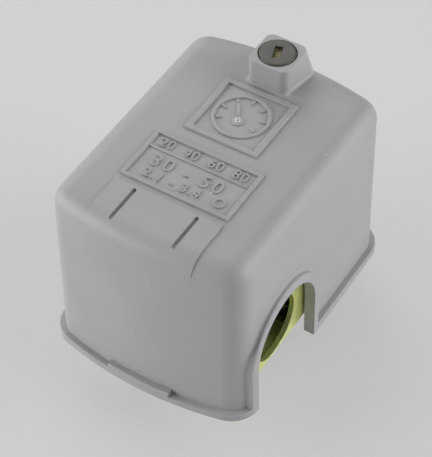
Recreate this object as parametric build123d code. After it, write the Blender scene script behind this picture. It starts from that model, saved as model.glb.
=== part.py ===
from build123d import *
import os
from math import cos, pi, radians, sqrt, tan

# Pressure switch for a pump: a moulded cover over a plated steel frame that carries a diaphragm
# housing, a spring-loaded lever and a two-pole contact block.
# Millimetres. Origin: centre of the inlet hub's lower face. +Z up, X along the conduit holes,
# -Y towards the wiring end, +Y towards the spring end.

# ---- Cover shell ----
COVER_WIDTH = 66.8          # body, across the straight sides at the open end
COVER_LENGTH = 91.7         # body, between the crowns of the bowed ends
COVER_HEIGHT = 63.5
COVER_WALL = 1.6
COVER_DRAFT = 0.9           # degrees
END_BOW = 4.8
CORNER_RADIUS = 8.0
TOP_FILLET = 6.3
SKIRT_DROP = 4.5            # open end below the frame plate's underside
LIP_REACH = 2.0             # outward lip round the open end
LIP_THICK = 2.4
LIP_EDGE_FILLET = 0.5
TAB_WIDTH = 21.6            # thicker grip length in the front lip
TAB_THICK = 4.2
NOTCH_CLEARANCE = 5.4       # notch arch outside the conduit hole
NOTCH_RIM = 3.0
RIM_EDGE_FILLET = 0.7
RIM_ROOT_FILLET = 1.0
PLATEAU_WIDTH = 35.8        # raised panel over the front edge
PLATEAU_RISE = 0.5
PLATEAU_REAR_Y = -26.8
GROOVE_WIDTH = 1.3
GROOVE_SPACING = 20.8
GROOVE_LENGTH = 13.0
GROOVE_DEPTH = 0.8
GROOVE_SETBACK = 1.0        # from the panel's rear edge
PLATE_FRAME_RISE = 0.7      # raised borders on the top
PLATE_FRAME_SINK = 0.3      # their roots, inside the wall
PLATE_FRAME_FILLET = 0.3
BADGE_SIDE = 24.6
BADGE_BORDER = 1.9
BADGE_Y = 12.6
NAMEPLATE_WIDTH = 36.0
NAMEPLATE_DEPTH = 20.2
NAMEPLATE_BORDER = 1.2
NAMEPLATE_Y = -14.6
STOP_RIB_THICK = 1.8
STOP_RIB_X = 26.0
STOP_RIB_BEARING = 1.5      # how far a rib reaches over the frame plate

# ---- Cover boss and its nut ----
STUD_SETBACK = 12.65        # stud to the cover's rear crown
BOSS_WALL = 0.8             # boss top, beside the nut's recess
BOSS_RISE = 9.3
BOSS_FOOT_WIDTH = 21.0      # across the rear of the foot, where the flanks run out
BOSS_FLANK_Y = 3.0          # flanks start this far behind the front face
BOSS_CORNER = 2.4
BOSS_TOP_FILLET = 0.3
BOSS_ROOT_FILLET = 1.0
BOSS_MOUTH = 0.3            # chamfer round the nut's recess
NUT_HEAD_RADIUS = 5.7
NUT_HEAD_HEIGHT = 4.6
NUT_HEAD_GAP = 0.3
NUT_PROUD = 0.4
NUT_SHANK_RADIUS = 4.1
NUT_SHANK_LENGTH = 8.0
NUT_SHANK_GAP = 0.35
NUT_SLOT_WIDTH = 2.5
NUT_SLOT_LENGTH = 5.2
NUT_SLOT_DEPTH = 3.0
THREAD_GAP = 0.04           # radial running clearance on a stud

# ---- Frame ----
HUB_HEIGHT = 11.0
HOUSING_HEIGHT = 9.0
PLATE_THICK = 1.6
FRAME_SIDE_GAP = 0.9        # ears to the cover's walls at the open end
PLATE_FRONT_GAP = 6.25      # plate to the cover's crowns
PLATE_REAR_GAP = 3.25
PLATE_CORNER = 3.0
BEND_RADIUS = 2.4           # outside of the ear bend
CONDUIT_RADIUS = 11.1
CONDUIT_Y = -18.85
EAR_FOOT = 2.7              # steel around the conduit hole: below, above, in front and behind
EAR_CREST = 4.6
EAR_FRONT = 4.55
EAR_REAR = 11.75
EAR_CORNER = 6.0
FIT_GAP = 0.05              # radial, fixed metal in its hole

# ---- Diaphragm housing ----
HOUSING_MARGIN = 7.0        # beyond the screw pattern
HOUSING_CORNER = 13.0
HUB_FLATS = 22.2
HUB_CHAMFER = 1.0
PORT_RADIUS = 5.6
PORT_DEPTH = 13.0
ORIFICE_RADIUS = 1.6
CHAMBER_RADIUS = 16.0
CHAMBER_DEPTH = 2.2
DIAPHRAGM_RADIUS = 22.8
DIAPHRAGM_THICK = 1.2
DIAPHRAGM_GAP = 0.2
HOUSING_SCREW_OFFSET = 5.5  # screw circle outside the diaphragm
HOUSING_SCREW_RADIUS = 2.0
HOUSING_SCREW_HEAD_RADIUS = 3.5
HOUSING_SCREW_HEAD_HEIGHT = 3.0
HOUSING_SCREW_GAP = 0.2
PISTON_RADIUS = 13.0
PISTON_GAP = 0.4
PISTON_THICK = 3.0
PISTON_DOME_RADIUS = 8.0
PISTON_STEM_RADIUS = 4.5
CONTACT_GAP = 0.05          # between parts that press on each other

# ---- Lever and its pivot ----
PIVOT_Y = -19.0
PIVOT_LIFT = 0.4            # axis above the middle of the lever's wings
LEVER_RISE = 3.0            # lever's underside above the plate's upper face
LEVER_THICK = 1.6
LEVER_WIDTH = 34.0
LEVER_NOSE = 3.5            # ahead of the pivot
LEVER_SEAT_MARGIN = 0.5     # beyond a spring's coils
LEVER_CORNER = 3.0
LEVER_FLANGE_HEIGHT = 7.0
LEVER_FLANGE_REAR_Y = 12.0
LEVER_STUD_GAP = 1.6
LEVER_COLLAR_RISE = 1.2
PIVOT_PIN_RADIUS = 1.5
BRACKET_GAP = 0.4
BRACKET_THICK = 1.6
BRACKET_LENGTH = 8.6
BRACKET_CREST = 4.1         # above the pivot axis
CLIP_RADIUS = 2.8
CLIP_THICK = 0.6
RIVET_RADIUS = 1.5
RIVET_HEAD_RADIUS = 2.5
RIVET_HEAD_HEIGHT = 0.8
RIVET_X = 10.0

# ---- Springs, studs and their nuts ----
RANGE_STUD_RADIUS = 2.41
RANGE_STUD_TOP_GAP = 2.5    # stud's end below the cover boss
RANGE_MEAN_RADIUS = 7.2
RANGE_WIRE = 2.2
RANGE_LENGTH = 31.8
RANGE_TURNS = 7.0
RANGE_NUT_FLATS = 9.5
RANGE_NUT_HEIGHT = 4.2
SPRING_CAP_GAP = 3.3        # between the two spring caps
TRIM_STUD_RADIUS = 2.08
TRIM_STUD_LENGTH = 36.0
TRIM_MEAN_RADIUS = 4.0
TRIM_WIRE = 1.2
TRIM_LENGTH = 21.0
TRIM_TURNS = 9.0
TRIM_NUT_FLATS = 8.7
TRIM_NUT_HEIGHT = 3.4
CAP_THICK = 1.8
CAP_OVERHANG = 0.6
STUD_HEAD_HEIGHT = 1.6
STUD_NUT_HEIGHT = 2.2

# ---- Contact block ----
BLOCK_SIDE_GAP = 2.3        # block to the ears
BLOCK_FRONT_Y = 0.0
BLOCK_REAR_Y = 14.0
BLOCK_UNDER_RISE = 14.4     # underside of the bridge above the plate's upper face
BLOCK_HEIGHT = 14.0
BLOCK_LEG_WIDTH = 6.5
DECK_REACH = 8.0
DECK_THICK = 8.0
BARRIER_RISE = 6.5
BARRIER_THICK = 1.6
FOOT_REACH = 7.5
FOOT_THICK = 3.0
FOOT_SCREW_RADIUS = 1.8
FOOT_SCREW_HEAD_RADIUS = 2.9
FOOT_SCREW_HEAD_HEIGHT = 2.0
TERMINAL_SIDE_MARGIN = 0.2
TERMINAL_SETBACK = 4.8      # screw behind the deck's front edge
STRIP_WIDTH = 8.6
STRIP_THICK = 0.8
STRIP_DROP = 10.5
TERMINAL_SCREW_RADIUS = 2.0
TERMINAL_SCREW_LENGTH = 6.5
TERMINAL_SCREW_GAP = 0.2
TERMINAL_HEAD_RADIUS = 3.7
TERMINAL_HEAD_HEIGHT = 2.4
CLAMP_SIDE = 8.2
CLAMP_THICK = 1.2
HEAD_SLOT_WIDTH = 1.0
HEAD_SLOT_DEPTH = 1.2
BUTTON_RADIUS = 2.1
BUTTON_THICK = 0.8
BUTTON_DROP = 6.8           # centre below the strip's top
BRIDGE_WIDTH = 4.4
BRIDGE_THICK = 0.9

# ---- Contact carrier ----
CARRIER_PIN_RADIUS = 1.2
CARRIER_PIN_RISE = 11.9     # above the plate's upper face
CARRIER_THICK = 3.6
CARRIER_SPRING_GAP = 2.0    # bridge to carrier
CARRIER_WIDTH = 52.0
CARRIER_WEB_WIDTH = 40.0
CARRIER_TOP_RISE = 26.0
CARRIER_BAR_DEPTH = 9.5
LUG_THICK = 3.0
LUG_RADIUS = 2.8
SIDE_GAP = 0.5
OVERTRAVEL_WIRE = 0.5
OVERTRAVEL_MEAN_RADIUS = 1.5
OVERTRAVEL_TURNS = 4.0
POCKET_RADIUS = 2.4
POCKET_DEPTH = 1.2
SNAP_WIDTH = 8.0
SNAP_THICK = 0.4
SNAP_TAB_Y = 8.5
SNAP_TAB_HEIGHT = 5.0

# ---- Ground screws ----
GROUND_X = 14.0
GROUND_INSET = 6.5          # behind the plate's front edge
GROUND_FLATS = 8.0
GROUND_WASHER_RADIUS = 5.0
GROUND_HEAD_HEIGHT = 3.0
GROUND_RADIUS = 2.0

# ---- Levels and places worked out from the sizes above ----
COVER_CROWN = COVER_LENGTH / 2
STUD_Y = COVER_CROWN - STUD_SETBACK
BOSS_WIDTH = 2 * (NUT_HEAD_RADIUS + NUT_HEAD_GAP + BOSS_WALL)
PLATE_WIDTH = COVER_WIDTH - 2 * (COVER_WALL + FRAME_SIDE_GAP)
PLATE_FRONT_Y = -COVER_CROWN + COVER_WALL + PLATE_FRONT_GAP
PLATE_REAR_Y = COVER_CROWN - COVER_WALL - PLATE_REAR_GAP
NOTCH_RADIUS = CONDUIT_RADIUS + NOTCH_CLEARANCE
CONDUIT_RISE = CONDUIT_RADIUS + EAR_FOOT
EAR_HEIGHT = CONDUIT_RISE + CONDUIT_RADIUS + EAR_CREST
EAR_FRONT_Y = CONDUIT_Y - CONDUIT_RADIUS - EAR_FRONT
EAR_REAR_Y = CONDUIT_Y + CONDUIT_RADIUS + EAR_REAR
HOUSING_SCREW_PITCH = sqrt(2) * (DIAPHRAGM_RADIUS + HOUSING_SCREW_OFFSET)
HOUSING_SIDE = HOUSING_SCREW_PITCH + 2 * HOUSING_MARGIN
PIVOT_RISE = LEVER_RISE + LEVER_FLANGE_HEIGHT / 2 + PIVOT_LIFT
BRACKET_HEIGHT = PIVOT_RISE + BRACKET_CREST
LEVER_FRONT_Y = PIVOT_Y - LEVER_NOSE
RANGE_CAP_RADIUS = RANGE_MEAN_RADIUS + RANGE_WIRE / 2 + CAP_OVERHANG
TRIM_CAP_RADIUS = TRIM_MEAN_RADIUS + TRIM_WIRE / 2 + CAP_OVERHANG
TRIM_X = RANGE_CAP_RADIUS + TRIM_CAP_RADIUS + SPRING_CAP_GAP
BLOCK_WIDTH = PLATE_WIDTH - 2 * (PLATE_THICK + BLOCK_SIDE_GAP)
TERMINAL_PITCH = (BLOCK_WIDTH - 2 * TERMINAL_SIDE_MARGIN) / 4
TERMINAL_Y = BLOCK_FRONT_Y - DECK_REACH + TERMINAL_SETBACK
GROUND_Y = PLATE_FRONT_Y + GROUND_INSET
PLATE_Z = HUB_HEIGHT + HOUSING_HEIGHT
DECKPLATE_Z = PLATE_Z + PLATE_THICK         # frame plate's upper face
COVER_Z = PLATE_Z - SKIRT_DROP
COVER_TOP = COVER_Z + COVER_HEIGHT
BOSS_TOP = COVER_TOP + BOSS_RISE
CONDUIT_Z = PLATE_Z + CONDUIT_RISE
PIVOT_Z = DECKPLATE_Z + PIVOT_RISE
LEVER_Z = DECKPLATE_Z + LEVER_RISE
LEVER_TOP = LEVER_Z + LEVER_THICK
RANGE_CAP_Z = LEVER_TOP + RANGE_LENGTH
TRIM_CAP_Z = LEVER_TOP + TRIM_LENGTH
BLOCK_Z = DECKPLATE_Z + BLOCK_UNDER_RISE
BLOCK_TOP = BLOCK_Z + BLOCK_HEIGHT
STRIP_TOP = BLOCK_TOP + STRIP_THICK
BUTTON_Z = STRIP_TOP - BUTTON_DROP
FIXED_FACE_Y = BLOCK_REAR_Y + STRIP_THICK + BUTTON_THICK
MOVING_FACE_Y = FIXED_FACE_Y + CONTACT_GAP
BRIDGE_Y = MOVING_FACE_Y + BUTTON_THICK
CARRIER_Y = BRIDGE_Y + BRIDGE_THICK + CARRIER_SPRING_GAP
CARRIER_PIN_Y = CARRIER_Y + CARRIER_THICK / 2
CARRIER_PIN_Z = DECKPLATE_Z + CARRIER_PIN_RISE
CARRIER_TOP = DECKPLATE_Z + CARRIER_TOP_RISE
COUNTERBORE_Z = BOSS_TOP + NUT_PROUD - NUT_HEAD_HEIGHT
TERMINALS_X = [TERMINAL_PITCH * (i - 1.5) for i in range(4)]
POLES_X = [-TERMINAL_PITCH, TERMINAL_PITCH]
SIDES = (-1, 1)


def block(x0, x1, y0, y1, z0, z1):
    """Box between two corners."""
    return Pos((x0 + x1) / 2, (y0 + y1) / 2, (z0 + z1) / 2) * Box(x1 - x0, y1 - y0, z1 - z0)


def disc(radius, z0, z1, x=0, y=0):
    """Upright cylinder from z0 to z1."""
    return Pos(x, y, (z0 + z1) / 2) * Cylinder(radius, z1 - z0)


def cross_bar(radius, x0, x1, y, z):
    """Cylinder lying along X."""
    return Pos((x0 + x1) / 2, y, z) * Rot(0, 90, 0) * Cylinder(radius, x1 - x0)


def lying_disc(radius, y0, y1, x, z):
    """Cylinder lying along Y."""
    return Pos(x, (y0 + y1) / 2, z) * Rot(90, 0, 0) * Cylinder(radius, y1 - y0)


def hexagon(flats, z0, z1, x=0, y=0):
    """Upright hexagonal prism."""
    outline = Pos(x, y, z0) * RegularPolygon(flats / 2, 6, major_radius=False, rotation=30)
    return extrude(outline, z1 - z0)


def upright_fillet(shape, radius):
    """Rounds the edges that run along Z."""
    return fillet(shape.edges().filter_by(Axis.Z), radius)


def coil(mean_radius, wire, turns, z0, z1, x=0, y=0):
    """Helical compression spring that fills the height from z0 to z1."""
    height = z1 - z0 - wire
    path = Pos(x, y, z0 + wire / 2) * Helix(pitch=height / turns, height=height, radius=mean_radius)
    section = Plane(origin=path @ 0, z_dir=path % 0) * Circle(wire / 2)
    return sweep(section, path=path, is_frenet=True)


def cover_outline(grow, z):
    """The cover's plan at height z: straight sides, bowed ends and round corners, offset by grow."""
    half_x = COVER_WIDTH / 2
    crown = COVER_CROWN
    side_y = crown - END_BOW
    corners = [(half_x, -side_y), (half_x, side_y), (-half_x, side_y), (-half_x, -side_y)]
    edges = [
        Line(corners[0], corners[1]),
        ThreePointArc(corners[1], (0, crown), corners[2]),
        Line(corners[2], corners[3]),
        ThreePointArc(corners[3], (0, -crown), corners[0]),
    ]
    face = make_face(edges)
    face = fillet(face.vertices(), CORNER_RADIUS)
    if grow:
        face = offset(face, grow)
    return Pos(0, 0, z) * face


def cover_body(grow, height, round_top):
    """Tapered solid on the cover's plan, with its top edge rounded."""
    solid = extrude(cover_outline(grow, COVER_Z), height, taper=COVER_DRAFT)
    if round_top:
        top_edges = solid.faces().sort_by(Axis.Z)[-1].edges()
        solid = fillet(top_edges, round_top)
    return solid


def notch_prism(radius):
    """Arch that both side notches follow, open at the bottom."""
    below = COVER_Z - 1
    arch = Pos(CONDUIT_Y, CONDUIT_Z) * Circle(radius)
    legs = Pos(CONDUIT_Y, (below + CONDUIT_Z) / 2) * Rectangle(2 * radius, CONDUIT_Z - below)
    return extrude(Plane.YZ * (arch + legs), COVER_WIDTH, both=True)


def border(width, depth, line, y):
    """Raised rectangular border on the cover's top."""
    ring = Rectangle(width, depth) - Rectangle(width - 2 * line, depth - 2 * line)
    ring = extrude(Pos(0, y, COVER_TOP - PLATE_FRAME_SINK) * ring, PLATE_FRAME_SINK + PLATE_FRAME_RISE)
    return fillet(ring.faces().sort_by(Axis.Z)[-1].edges(), PLATE_FRAME_FILLET)


def boss_section(half_front, half_rear, front, rear, z):
    """Plan of the boss at height z: a straight front that widens into flanks behind it."""
    flank = front + BOSS_FLANK_Y
    outline = [(-half_front, front), (half_front, front), (half_front, flank), (half_rear, rear),
               (-half_rear, rear), (-half_front, flank)]
    face = make_face(Polyline(outline, close=True))
    corners = face.vertices().group_by(Axis.Y)
    return Pos(0, 0, z) * fillet(list(corners[0]) + list(corners[-1]), BOSS_CORNER)


def cover_boss():
    """Block at the rear of the top that holds the cover nut, with flanks that run out to the rear."""
    half = BOSS_WIDTH / 2
    front = STUD_Y - half
    foot_rear = COVER_CROWN - COVER_WALL - COVER_HEIGHT * tan(radians(COVER_DRAFT))
    foot = boss_section(half, BOSS_FOOT_WIDTH / 2, front, foot_rear, COVER_TOP - TOP_FILLET)
    crest = boss_section(half, half, front, STUD_Y + half, BOSS_TOP)
    boss = loft([foot, crest], ruled=True)
    return fillet(boss.faces().sort_by(Axis.Z)[-1].edges(), BOSS_TOP_FILLET)


def stop_ribs():
    """Ribs inside both ends of the cover that stand on the frame plate."""
    ribs = []
    for side in SIDES:
        x0 = side * STOP_RIB_X - STOP_RIB_THICK / 2
        x1 = x0 + STOP_RIB_THICK
        top = COVER_TOP - TOP_FILLET
        ribs.append(block(x0, x1, -COVER_CROWN, PLATE_FRONT_Y + STOP_RIB_BEARING, DECKPLATE_Z, top))
        ribs.append(block(x0, x1, PLATE_REAR_Y - STOP_RIB_BEARING, COVER_CROWN, DECKPLATE_Z, top))
    return ribs


def notch_rim(outer):
    """Shell walls with a raised rim round the right notch, blended into the wall."""
    clear = NOTCH_RADIUS + NOTCH_RIM
    right_half = block(0, COVER_WIDTH, -COVER_LENGTH, COVER_LENGTH, 0, COVER_TOP)
    rim = cover_body(LIP_REACH, CONDUIT_Z + clear - COVER_Z + 1, 0) & notch_prism(clear) & right_half
    face = rim.faces().sort_by(Axis.X)[-1]
    crest = [edge for edge in face.edges() if edge.center().Z > COVER_Z + LIP_THICK]
    body = outer + fillet(crest, RIM_EDGE_FILLET)
    return fillet([edge for edge in body.edges() if on_rim_root(edge)], RIM_ROOT_FILLET)


def on_rim_root(edge):
    """Whether an edge lies where the notch rim meets the wall."""
    place = edge.center()
    wall_x = COVER_WIDTH / 2 - (place.Z - COVER_Z) * tan(radians(COVER_DRAFT))
    clear = NOTCH_RADIUS + NOTCH_RIM + 1
    return (COVER_Z + 1 < place.Z < CONDUIT_Z + clear and abs(place.X - wall_x) < LIP_REACH / 3
            and abs(place.Y - CONDUIT_Y) < clear and edge.length > NOTCH_RIM)


def skirt_lip():
    """Lip round the open end, thicker at the front grip."""
    lip = extrude(cover_outline(LIP_REACH, COVER_Z), LIP_THICK)
    lip = fillet(lip.faces().sort_by(Axis.Z)[-1].edges(), LIP_EDGE_FILLET)
    zone = block(-TAB_WIDTH / 2, TAB_WIDTH / 2, -COVER_LENGTH, 0, COVER_Z, COVER_Z + TAB_THICK)
    tab = extrude(cover_outline(LIP_REACH, COVER_Z), TAB_THICK) & zone
    crest = [edge for edge in tab.faces().sort_by(Axis.Z)[-1].edges() if edge.center().Y < PLATE_FRONT_Y]
    return lip + fillet(crest, LIP_EDGE_FILLET)


def grip_panel(outer):
    """Raised panel that runs over the front top edge."""
    half = PLATEAU_WIDTH / 2
    zone = block(-half, half, -COVER_LENGTH, PLATEAU_REAR_Y, COVER_TOP - 2 * TOP_FILLET,
                 COVER_TOP + PLATEAU_RISE)
    return (Pos(0, 0, PLATEAU_RISE) * outer) & zone


def grip_grooves():
    """Two round-ended grooves in the panel."""
    rear = PLATEAU_REAR_Y - GROOVE_SETBACK
    floor = COVER_TOP + PLATEAU_RISE - GROOVE_DEPTH
    outline = Rot(0, 0, 90) * SlotOverall(GROOVE_LENGTH, GROOVE_WIDTH)
    return [extrude(Pos(side * GROOVE_SPACING / 2, rear - GROOVE_LENGTH / 2, floor) * outline,
                    GROOVE_DEPTH + 1)
            for side in SIDES]


def on_boss_root(edge):
    """Whether an edge lies where the boss meets the top."""
    place = edge.center()
    return (abs(place.X) < BOSS_FOOT_WIDTH / 2 + 2 and STUD_Y - BOSS_WIDTH < place.Y
            and COVER_TOP - TOP_FILLET < place.Z < COVER_TOP + LIP_EDGE_FILLET and edge.length > 1)


def make_cover():
    """Moulded cover: tapered shell, lip, notches with rims, boss, borders and grip panel."""
    outer = cover_body(0, COVER_HEIGHT, TOP_FILLET)
    cavity = cover_body(-COVER_WALL, COVER_HEIGHT - COVER_WALL, TOP_FILLET - COVER_WALL)
    shell = notch_rim(outer) + cover_boss()
    shell = fillet([edge for edge in shell.edges() if on_boss_root(edge)], BOSS_ROOT_FILLET)
    shell = shell + skirt_lip() + grip_panel(outer)
    shell = shell + border(BADGE_SIDE, BADGE_SIDE, BADGE_BORDER, BADGE_Y)
    shell = shell + border(NAMEPLATE_WIDTH, NAMEPLATE_DEPTH, NAMEPLATE_BORDER, NAMEPLATE_Y)
    ribs = [rib & cavity for rib in stop_ribs()]
    shell = shell - cavity - notch_prism(NOTCH_RADIUS)
    for rib in ribs:
        shell = shell + rib
    for groove in grip_grooves():
        shell = shell - groove
    recess_radius = NUT_HEAD_RADIUS + NUT_HEAD_GAP
    recess = disc(recess_radius, COUNTERBORE_Z, BOSS_TOP + 1, y=STUD_Y)
    mouth = Pos(0, STUD_Y, BOSS_TOP) * Cone(recess_radius - BOSS_MOUTH, recess_radius + BOSS_MOUTH,
                                            2 * BOSS_MOUTH)
    shank_hole = disc(NUT_SHANK_RADIUS + NUT_SHANK_GAP, COVER_TOP - 2 * COVER_WALL, BOSS_TOP, y=STUD_Y)
    return shell - recess - mouth - shank_hole


def make_cover_nut():
    """Slotted thumb nut that holds the cover on the range stud."""
    head = disc(NUT_HEAD_RADIUS, COUNTERBORE_Z, BOSS_TOP + NUT_PROUD, y=STUD_Y)
    head = fillet(head.edges().sort_by(Axis.Z)[-1], 0.6)
    shank = disc(NUT_SHANK_RADIUS, COUNTERBORE_Z - NUT_SHANK_LENGTH, COUNTERBORE_Z, y=STUD_Y)
    slot_z = BOSS_TOP + NUT_PROUD - NUT_SLOT_DEPTH
    slot = Pos(0, STUD_Y, 0) * Rot(0, 0, 20) * block(
        -NUT_SLOT_WIDTH / 2, NUT_SLOT_WIDTH / 2, -NUT_SLOT_LENGTH / 2, NUT_SLOT_LENGTH / 2, slot_z,
        BOSS_TOP + 1)
    bore = disc(RANGE_STUD_RADIUS + THREAD_GAP, COUNTERBORE_Z - NUT_SHANK_LENGTH - 1, slot_z + 0.1,
                y=STUD_Y)
    return head + shank - slot - bore


def screw_points(pitch):
    """Corners of a square hole pattern."""
    return [(sx * pitch / 2, sy * pitch / 2) for sx in SIDES for sy in SIDES]


def make_frame():
    """Plated steel channel: flat plate with two upright ears that carry the conduit holes."""
    half = PLATE_WIDTH / 2
    flat_half = half - BEND_RADIUS
    plate = block(-flat_half, flat_half, PLATE_FRONT_Y, PLATE_REAR_Y, PLATE_Z, DECKPLATE_Z)
    plate = upright_fillet(plate, PLATE_CORNER)
    channel = block(-half, half, EAR_FRONT_Y, EAR_REAR_Y, PLATE_Z, PLATE_Z + EAR_HEIGHT)
    bends = channel.edges().filter_by(Axis.Y).group_by(Axis.Z)[0]
    channel = fillet(bends, BEND_RADIUS)
    inside = block(-half + PLATE_THICK, half - PLATE_THICK, EAR_FRONT_Y, EAR_REAR_Y,
                   DECKPLATE_Z, PLATE_Z + EAR_HEIGHT)
    inside = fillet(inside.edges().filter_by(Axis.Y).group_by(Axis.Z)[0], BEND_RADIUS - PLATE_THICK)
    ears = channel - inside
    ear_corners = ears.edges().filter_by(Axis.X).group_by(Axis.Z)[-1]
    ears = fillet(ear_corners, EAR_CORNER)
    frame = plate + ears
    frame = frame - cross_bar(CONDUIT_RADIUS, -half - 1, half + 1, CONDUIT_Y, CONDUIT_Z)
    holes = [(0, 0, PISTON_RADIUS + PISTON_GAP)]
    holes += [(x, y, HOUSING_SCREW_RADIUS + FIT_GAP) for x, y in screw_points(HOUSING_SCREW_PITCH)]
    holes += [(0, STUD_Y, RANGE_STUD_RADIUS + FIT_GAP), (TRIM_X, STUD_Y, TRIM_STUD_RADIUS + FIT_GAP)]
    for side in SIDES:
        holes.append((side * foot_screw_x(), foot_screw_y(), FOOT_SCREW_RADIUS + FIT_GAP))
        holes.append((side * RIVET_X, PIVOT_Y, RIVET_RADIUS + FIT_GAP))
        holes.append((side * GROUND_X, GROUND_Y, GROUND_RADIUS + FIT_GAP))
    for x, y, radius in holes:
        frame = frame - disc(radius, PLATE_Z - 1, DECKPLATE_Z + 1, x, y)
    return frame


def foot_screw_x():
    """Distance of a block foot screw from the centre plane."""
    return (BLOCK_WIDTH - BLOCK_LEG_WIDTH) / 2


def foot_screw_y():
    """Place of the block's foot screws along Y."""
    return BLOCK_FRONT_Y - FOOT_REACH / 2


def make_housing():
    """Die-cast diaphragm housing with a hexagonal inlet hub."""
    body = upright_fillet(block(-HOUSING_SIDE / 2, HOUSING_SIDE / 2, -HOUSING_SIDE / 2, HOUSING_SIDE / 2,
                                HUB_HEIGHT, PLATE_Z), HOUSING_CORNER)
    body = fillet(body.faces().sort_by(Axis.Z)[0].edges(), 1.5)
    hub = hexagon(HUB_FLATS, 0, HUB_HEIGHT + 1)
    hub = chamfer(hub.faces().sort_by(Axis.Z)[0].edges(), HUB_CHAMFER)
    body = body + hub
    recess_z = PLATE_Z - DIAPHRAGM_THICK
    body = body - disc(DIAPHRAGM_RADIUS + DIAPHRAGM_GAP, recess_z, PLATE_Z + 1)
    body = body - disc(CHAMBER_RADIUS, recess_z - CHAMBER_DEPTH, PLATE_Z)
    body = body - disc(PORT_RADIUS, -1, PORT_DEPTH)
    body = body - disc(ORIFICE_RADIUS, 0, PLATE_Z)
    for x, y in screw_points(HOUSING_SCREW_PITCH):
        body = body - disc(HOUSING_SCREW_RADIUS + HOUSING_SCREW_GAP, 0, PLATE_Z + 1, x, y)
    return body


def make_housing_screws():
    """Four hexagon screws that clamp the housing under the plate."""
    screws = []
    for x, y in screw_points(HOUSING_SCREW_PITCH):
        head = hexagon(2 * HOUSING_SCREW_HEAD_RADIUS * cos(pi / 6),
                       HUB_HEIGHT - HOUSING_SCREW_HEAD_HEIGHT, HUB_HEIGHT, x, y)
        screws.append(head + disc(HOUSING_SCREW_RADIUS, HUB_HEIGHT - 0.1, DECKPLATE_Z - 0.2, x, y))
    return screws


def make_diaphragm():
    """Rubber disc clamped at its rim."""
    return disc(DIAPHRAGM_RADIUS, PLATE_Z - DIAPHRAGM_THICK, PLATE_Z)


def make_piston():
    """Pressure plate on the diaphragm, with a domed nose under the lever."""
    top = LEVER_Z - CONTACT_GAP
    base = disc(PISTON_RADIUS, PLATE_Z, PLATE_Z + PISTON_THICK)
    base = chamfer(base.edges().sort_by(Axis.Z)[-1], 0.5)
    dome = Pos(0, 0, top - PISTON_DOME_RADIUS) * Sphere(PISTON_DOME_RADIUS)
    return base + (dome & disc(PISTON_STEM_RADIUS, PLATE_Z + 0.5, top))


def make_bracket():
    """U bracket on the plate whose ears hold the lever's pivot pin."""
    inner = LEVER_WIDTH / 2 + BRACKET_GAP
    outer = inner + BRACKET_THICK
    y0 = PIVOT_Y - BRACKET_LENGTH / 2
    y1 = PIVOT_Y + BRACKET_LENGTH / 2
    body = block(-outer, outer, y0, y1, DECKPLATE_Z, DECKPLATE_Z + BRACKET_HEIGHT)
    body = fillet(body.edges().filter_by(Axis.Y).group_by(Axis.Z)[0], BRACKET_THICK)
    body = body - block(-inner, inner, y0, y1, DECKPLATE_Z + BRACKET_THICK, DECKPLATE_Z + BRACKET_HEIGHT)
    body = fillet(body.edges().filter_by(Axis.X).group_by(Axis.Z)[-1], BRACKET_LENGTH / 2 - 0.1)
    body = body - cross_bar(PIVOT_PIN_RADIUS + FIT_GAP, -outer - 1, outer + 1, PIVOT_Y, PIVOT_Z)
    for side in SIDES:
        body = body - disc(RIVET_RADIUS + FIT_GAP, DECKPLATE_Z - 1, PIVOT_Z, side * RIVET_X, PIVOT_Y)
    return body


def make_bracket_rivets():
    """Two rivets that hold the pivot bracket."""
    seat = DECKPLATE_Z + BRACKET_THICK
    return [
        disc(RIVET_RADIUS, PLATE_Z, seat, side * RIVET_X, PIVOT_Y)
        + disc(RIVET_HEAD_RADIUS, seat, seat + RIVET_HEAD_HEIGHT, side * RIVET_X, PIVOT_Y)
        for side in SIDES
    ]


def pin_half_length():
    """From the centre plane to a pivot clip's outer face."""
    return LEVER_WIDTH / 2 + BRACKET_GAP + BRACKET_THICK + CLIP_THICK


def make_pivot_pin():
    """Lever's pivot pin."""
    half = pin_half_length() + 0.6
    return cross_bar(PIVOT_PIN_RADIUS, -half, half, PIVOT_Y, PIVOT_Z)


def make_pivot_clips():
    """Retaining rings on both ends of the pivot pin."""
    end = pin_half_length()
    clips = []
    for side in SIDES:
        x0, x1 = sorted((side * (end - CLIP_THICK), side * end))
        ring = cross_bar(CLIP_RADIUS, x0, x1, PIVOT_Y, PIVOT_Z)
        clips.append(ring - cross_bar(PIVOT_PIN_RADIUS + 0.01, x0 - 1, x1 + 1, PIVOT_Y, PIVOT_Z))
    return clips


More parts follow.
